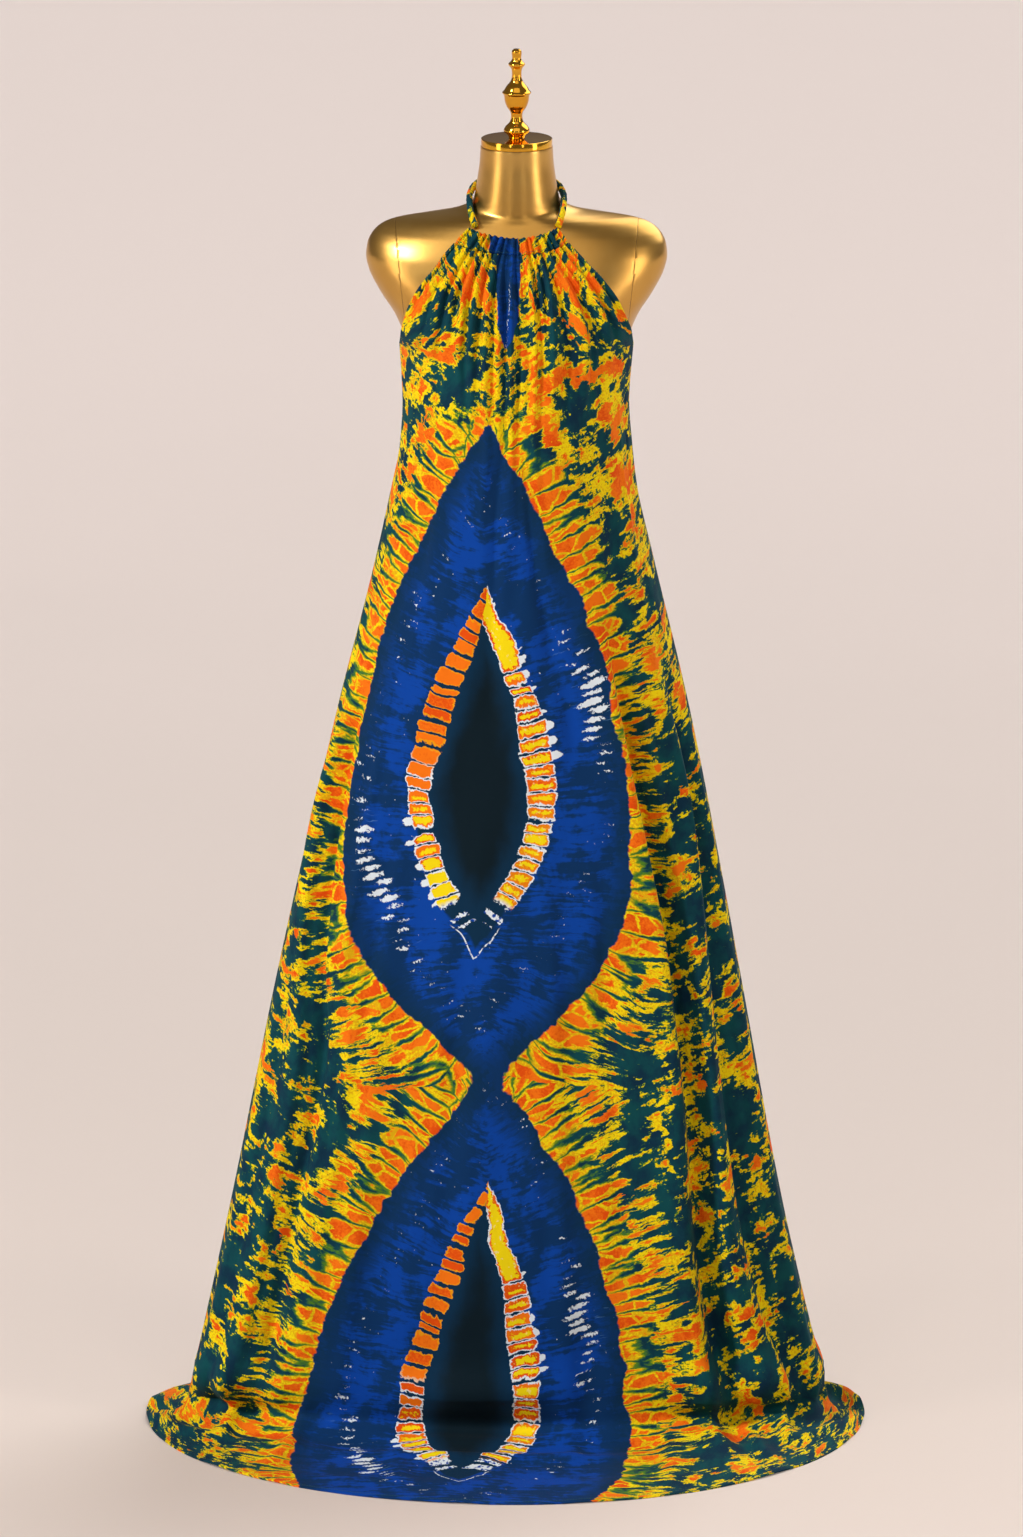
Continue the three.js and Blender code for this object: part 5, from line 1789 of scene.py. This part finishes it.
# ---------------------------------------------------------------------------------------------
# The dress form and its stand
# ---------------------------------------------------------------------------------------------
@dataclass
class DressForm:
    """The limbless form: torso and shoulder caps."""

    finishes: Finishes
    columns: int = 144
    rows: int = 168
    joint_bevel: float = 0.7
    bevel_segments: int = 2
    bevel_from: float = 50.0

    def loft(self) -> bpy.types.Mesh:
        """The whole form as one smooth closed mesh."""
        table = curves(FORM_SECTIONS)
        levels = np.array([row.z for row in FORM_SECTIONS])
        spread = np.interp(np.linspace(0, 1, self.rows + 1), np.linspace(0, 1, len(levels)), levels)
        z = np.unique(np.round(spread, 3))[:, None]
        angle = turns(self.columns)[None, :]
        side, ahead = np.sin(angle), np.cos(angle)
        power = 2 / table["power"](z)
        depth = np.where(ahead > 0, -table["front"](z), table["back"](z))
        across = np.abs(side) ** power
        x = table["half"](z) * np.sign(side) * across
        ease = 0.2 * np.maximum(2 - table["power"](z), 0) + 1e-6
        eased = (np.hypot(across, ease) - ease) / (np.hypot(1, ease) - ease)
        y = depth * np.maximum(1 - eased ** table["power"](z), 0) ** (power / 2)
        points = together(x, y, z).reshape(-1, 3)
        faces = outward(points, loft_faces(len(z), self.columns))
        mesh = bpy.data.meshes.new("form")
        mesh.from_pydata((points * MM).tolist(), [], faces)
        return mesh

    def cut(
        self, mesh: bpy.types.Mesh, name: str, keep: Callable[[int], float]
    ) -> bpy.types.Object:
        """Cut a copy of the form at both shoulder joints and close the cuts.

        Args:
            mesh: the whole form.
            name: the piece's name.
            keep: for each side, 1 keeps what lies outside the joint and -1 what lies inside.

        Returns:
            The piece.
        """
        work = bmesh.new()
        work.from_mesh(mesh)
        for sign in (-1, 1):
            way = keep(sign)
            if way == 0:
                continue
            normal = Vector((sign, 0, -SHOULDER_JOINT_LEAN)).normalized()
            middle = Vector((sign * SHOULDER_JOINT_X, 0, SHOULDER_JOINT_Z)) * MM
            middle += normal * (way * GAP / 2 * MM)
            geometry = [*work.verts, *work.edges, *work.faces]
            bmesh.ops.bisect_plane(
                work, geom=geometry, plane_co=middle, plane_no=normal * -way, clear_outer=True
            )
            rim = [edge for edge in work.edges if edge.is_boundary]
            bmesh.ops.holes_fill(work, edges=rim)
        piece_mesh = bpy.data.meshes.new(name)
        work.to_mesh(piece_mesh)
        work.free()
        self.smooth(piece_mesh)
        piece = add_object(name, piece_mesh)
        bevel = piece.modifiers.new("soft_edge", "BEVEL")
        bevel.width = self.joint_bevel * MM
        bevel.segments = self.bevel_segments
        bevel.limit_method = "ANGLE"
        bevel.angle_limit = math.radians(self.bevel_from)
        piece_mesh.materials.append(self.finishes.gold)
        return piece

    @staticmethod
    def smooth(mesh: bpy.types.Mesh) -> None:
        """Shade the mesh smooth but for its cut faces."""
        smooth = np.array([len(polygon.vertices) <= 4 for polygon in mesh.polygons])
        mesh.polygons.foreach_set("use_smooth", smooth)

    def build(self) -> None:
        """Make the torso and both caps."""
        whole = self.loft()
        torso = self.cut(whole, "form_torso_shell", lambda sign: -1)
        place_piece(torso, "satin_gold", "form_torso")
        for name, side in (("left", -1), ("right", 1)):
            cap = self.cut(whole, f"shoulder_cap_{name}", lambda sign, s=side: float(sign == s))
            place_piece(cap, "satin_gold", f"form_shoulder_cap_{name}")
        bpy.data.meshes.remove(whole)


@dataclass
class Stand:
    """Neck cap, finial, pole and base."""

    finishes: Finishes
    columns: int = 96
    cap_bevel: float = 1.2
    cap_foot_bevel: float = 0.4
    cap_crease: float = 30.0
    finial_crease: float = 40.0

    def build(self) -> None:
        """Make the turned pieces and dress the plain packed ones."""
        edge, low, rim, top = self.cap_bevel, NECK_CAP_BOTTOM, NECK_CAP_RADIUS, NECK_CAP_TOP
        cap_profile = np.array([
            (low, rim - self.cap_foot_bevel), (low + self.cap_foot_bevel, rim),
            (top - edge, rim), (top - 0.3 * edge, rim - 0.3 * edge), (top, rim - edge),
        ])
        self.turned("neck_cap_disc", cap_profile, self.cap_crease, "neck_cap")
        foot = NECK_CAP_TOP + GAP
        outline = np.array(FINIAL_PROFILE[:-1], float)
        profile = catmull(outline, FINIAL_SPLINE_STEPS) + (foot, 0)
        self.turned("finial_turned", profile, self.finial_crease, "finial")
        for name in ("stand_pole", "stand_base"):
            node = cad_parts[name]
            node.data.materials.clear()
            node.data.materials.append(self.finishes.gold)
            log.info("%s keeps its packed shape", name)

    def turned(self, name: str, profile: np.ndarray, crease: float, node: str) -> None:
        """Make one turned piece with edges sharper than the crease angle kept crisp."""
        points, faces = turned_mesh(profile, self.columns)
        piece = make_piece(name, points, faces, self.finishes.brass, None, len(faces) - 2)
        mesh = piece.data
        work = bmesh.new()
        work.from_mesh(mesh)
        for line in work.edges:
            line.smooth = line.calc_face_angle(0) < math.radians(crease)
        work.to_mesh(mesh)
        work.free()
        place_piece(piece, "polished_brass", node)


# ---------------------------------------------------------------------------------------------
# Studio
# ---------------------------------------------------------------------------------------------
class SoftBox(NamedTuple):
    """A rectangular lamp: place, what it faces, width, height and power."""

    place: tuple[float, float, float]
    target: tuple[float, float, float]
    width: float
    height: float
    power: float


class Lit(Enum):
    """What an even light falls on."""

    ALL = "all"
    OBJECT = "object"
    FLOOR = "floor"


class Sun(NamedTuple):
    """An even light from far off: where it comes from, its strength, softness and reach."""

    source: tuple[float, float, float]
    power: float
    softness: float
    lit: Lit = Lit.ALL


@dataclass
class Studio:
    """Camera, lamps and the pale floor, whose colour carries painted light: paler away from the
    dress.
    """

    camera_place: tuple[float, float, float] = (-0.00658, -12.5388, 4.0939)
    camera_pitch: float = 75.6
    focal_px: float = 10000.0
    frame_px: float = 1537.0
    sensor: float = 36.0
    lamp_colour: str = "FFF4E8"
    world_colour: str = "F3ECE8"
    world_strength: float = 0.18
    # painted light: near and far floor colours, and the span over which the floor turns paler,
    # standing in for lamp light that falls off away from the dress
    floor_colours: tuple[str, str] = ("E3D5CD", "F7E7E0")
    floor_paler: tuple[float, float] = (1.2, 8.0)
    floor_half: float = 300.0
    boxes: Sequence[SoftBox] = (
        SoftBox((-3.0, -1.7, 2.3), (0, 0, 1.4), 0.8, 2.2, 22),
        SoftBox((3.0, -1.7, 2.3), (0, 0, 1.4), 0.8, 2.2, 26),
        SoftBox((-1.3, -3.6, 2.8), (0, 0, 1.5), 0.3, 1.6, 6),
        SoftBox((1.3, -3.6, 2.8), (0, 0, 1.5), 0.3, 1.6, 5),
        SoftBox((0.0, -3.4, 5.4), (0, 0, 1.5), 4.4, 2.8, 36),
    )
    suns: Sequence[Sun] = (
        Sun((-1.0, -0.62, 0.95), 2.05, 8.0, Lit.OBJECT),
        Sun((0.0, 0.0, 1.0), 1.2, 60.0, Lit.FLOOR),
        Sun((0.8, 0.9, 0.9), 1.5, 50.0),
    )

    def build(self) -> None:
        """Set the camera, the lamps, the world and the floor."""
        lens = bpy.data.cameras.new("camera")
        lens.sensor_width = self.sensor
        lens.lens = self.sensor * self.focal_px / self.frame_px
        lens.clip_end = 200.0
        camera = add_object("camera", lens)
        camera.location = self.camera_place
        camera.rotation_euler = (math.radians(self.camera_pitch), 0, 0)
        bpy.context.scene.camera = camera
        for number, box in enumerate(self.boxes):
            self.lamp(f"soft_box_{number}", box)
        floor = self.floor()
        for number, sun in enumerate(self.suns):
            self.far_light(f"far_light_{number}", sun, floor)
        self.world()
        bpy.context.scene.view_settings.view_transform = "Standard"

    def lamp(self, name: str, box: SoftBox) -> None:
        """Add one soft box."""
        light = bpy.data.lights.new(name, "AREA")
        light.shape = "RECTANGLE"
        light.size, light.size_y = box.width, box.height
        light.energy = box.power
        light.color = linear(self.lamp_colour)[:3]
        lamp = add_object(name, light)
        away = Vector(box.place) - Vector(box.target)
        turn = away.to_track_quat("Z", "Y").to_matrix().to_4x4()
        lamp.matrix_world = Matrix.Translation(box.place) @ turn

    def far_light(self, name: str, sun: Sun, floor: bpy.types.Object) -> None:
        """Add one even light, kept to the floor or off it where the sun says so."""
        light = bpy.data.lights.new(name, "SUN")
        light.energy = sun.power
        light.angle = math.radians(sun.softness)
        lamp = add_object(name, light)
        lamp.rotation_euler = Vector(sun.source).to_track_quat("Z", "Y").to_euler()
        if sun.lit is Lit.ALL:
            return
        lit = bpy.data.collections.new(name + "_lit")
        lit.objects.link(floor)
        state = "INCLUDE" if sun.lit is Lit.FLOOR else "EXCLUDE"
        lit.collection_objects[0].light_linking.link_state = state
        lamp.light_linking.receiver_collection = lit
        light.use_shadow = sun.lit is Lit.OBJECT

    def world(self) -> None:
        """Even pale light from all round."""
        world = bpy.data.worlds.new("studio")
        bpy.context.scene.world = world
        world.use_nodes = True
        background = world.node_tree.nodes["Background"]
        graph = Graph(world.node_tree)
        graph.set(background, Color=self.world_colour, Strength=self.world_strength)

    def floor(self) -> bpy.types.Object:
        """A pale floor with painted light: paler away from the dress, standing in for the lamp
        light that falls off there.
        """
        half = self.floor_half
        corners = [(-half, -half, 0), (half, -half, 0), (half, half, 0), (-half, half, 0)]
        mesh = bpy.data.meshes.new("floor")
        mesh.from_pydata(corners, [], [(0, 1, 2, 3)])
        material, g, shader = start_material("floor_with_painted_light")
        place = Wire(g, g.node("ShaderNodeTexCoord").outputs["Object"])
        x, y, _ = g.split(place)
        away = g.math("SQRT", x * x + y * y)
        # painted light: the floor turns paler away from the dress, standing in for lamp light that
        # falls off there
        painted_far_light = g.step(away + g.noise(place, 2.0), *self.floor_paler)
        g.set(shader, Base_Color=g.tint(painted_far_light, *self.floor_colours), Roughness=0.8)
        mesh.materials.append(material)
        floor = add_object("floor", mesh)
        return floor


def main() -> None:
    """Build the studio and every piece of the object, in order."""
    logging.basicConfig(level=logging.INFO, format="%(name)s: %(message)s")
    Studio().build()
    finishes = Finishes.make()
    DressForm(finishes).build()
    Stand(finishes).build()
    Dress(finishes).build()


if __name__ == "__main__":
    main()
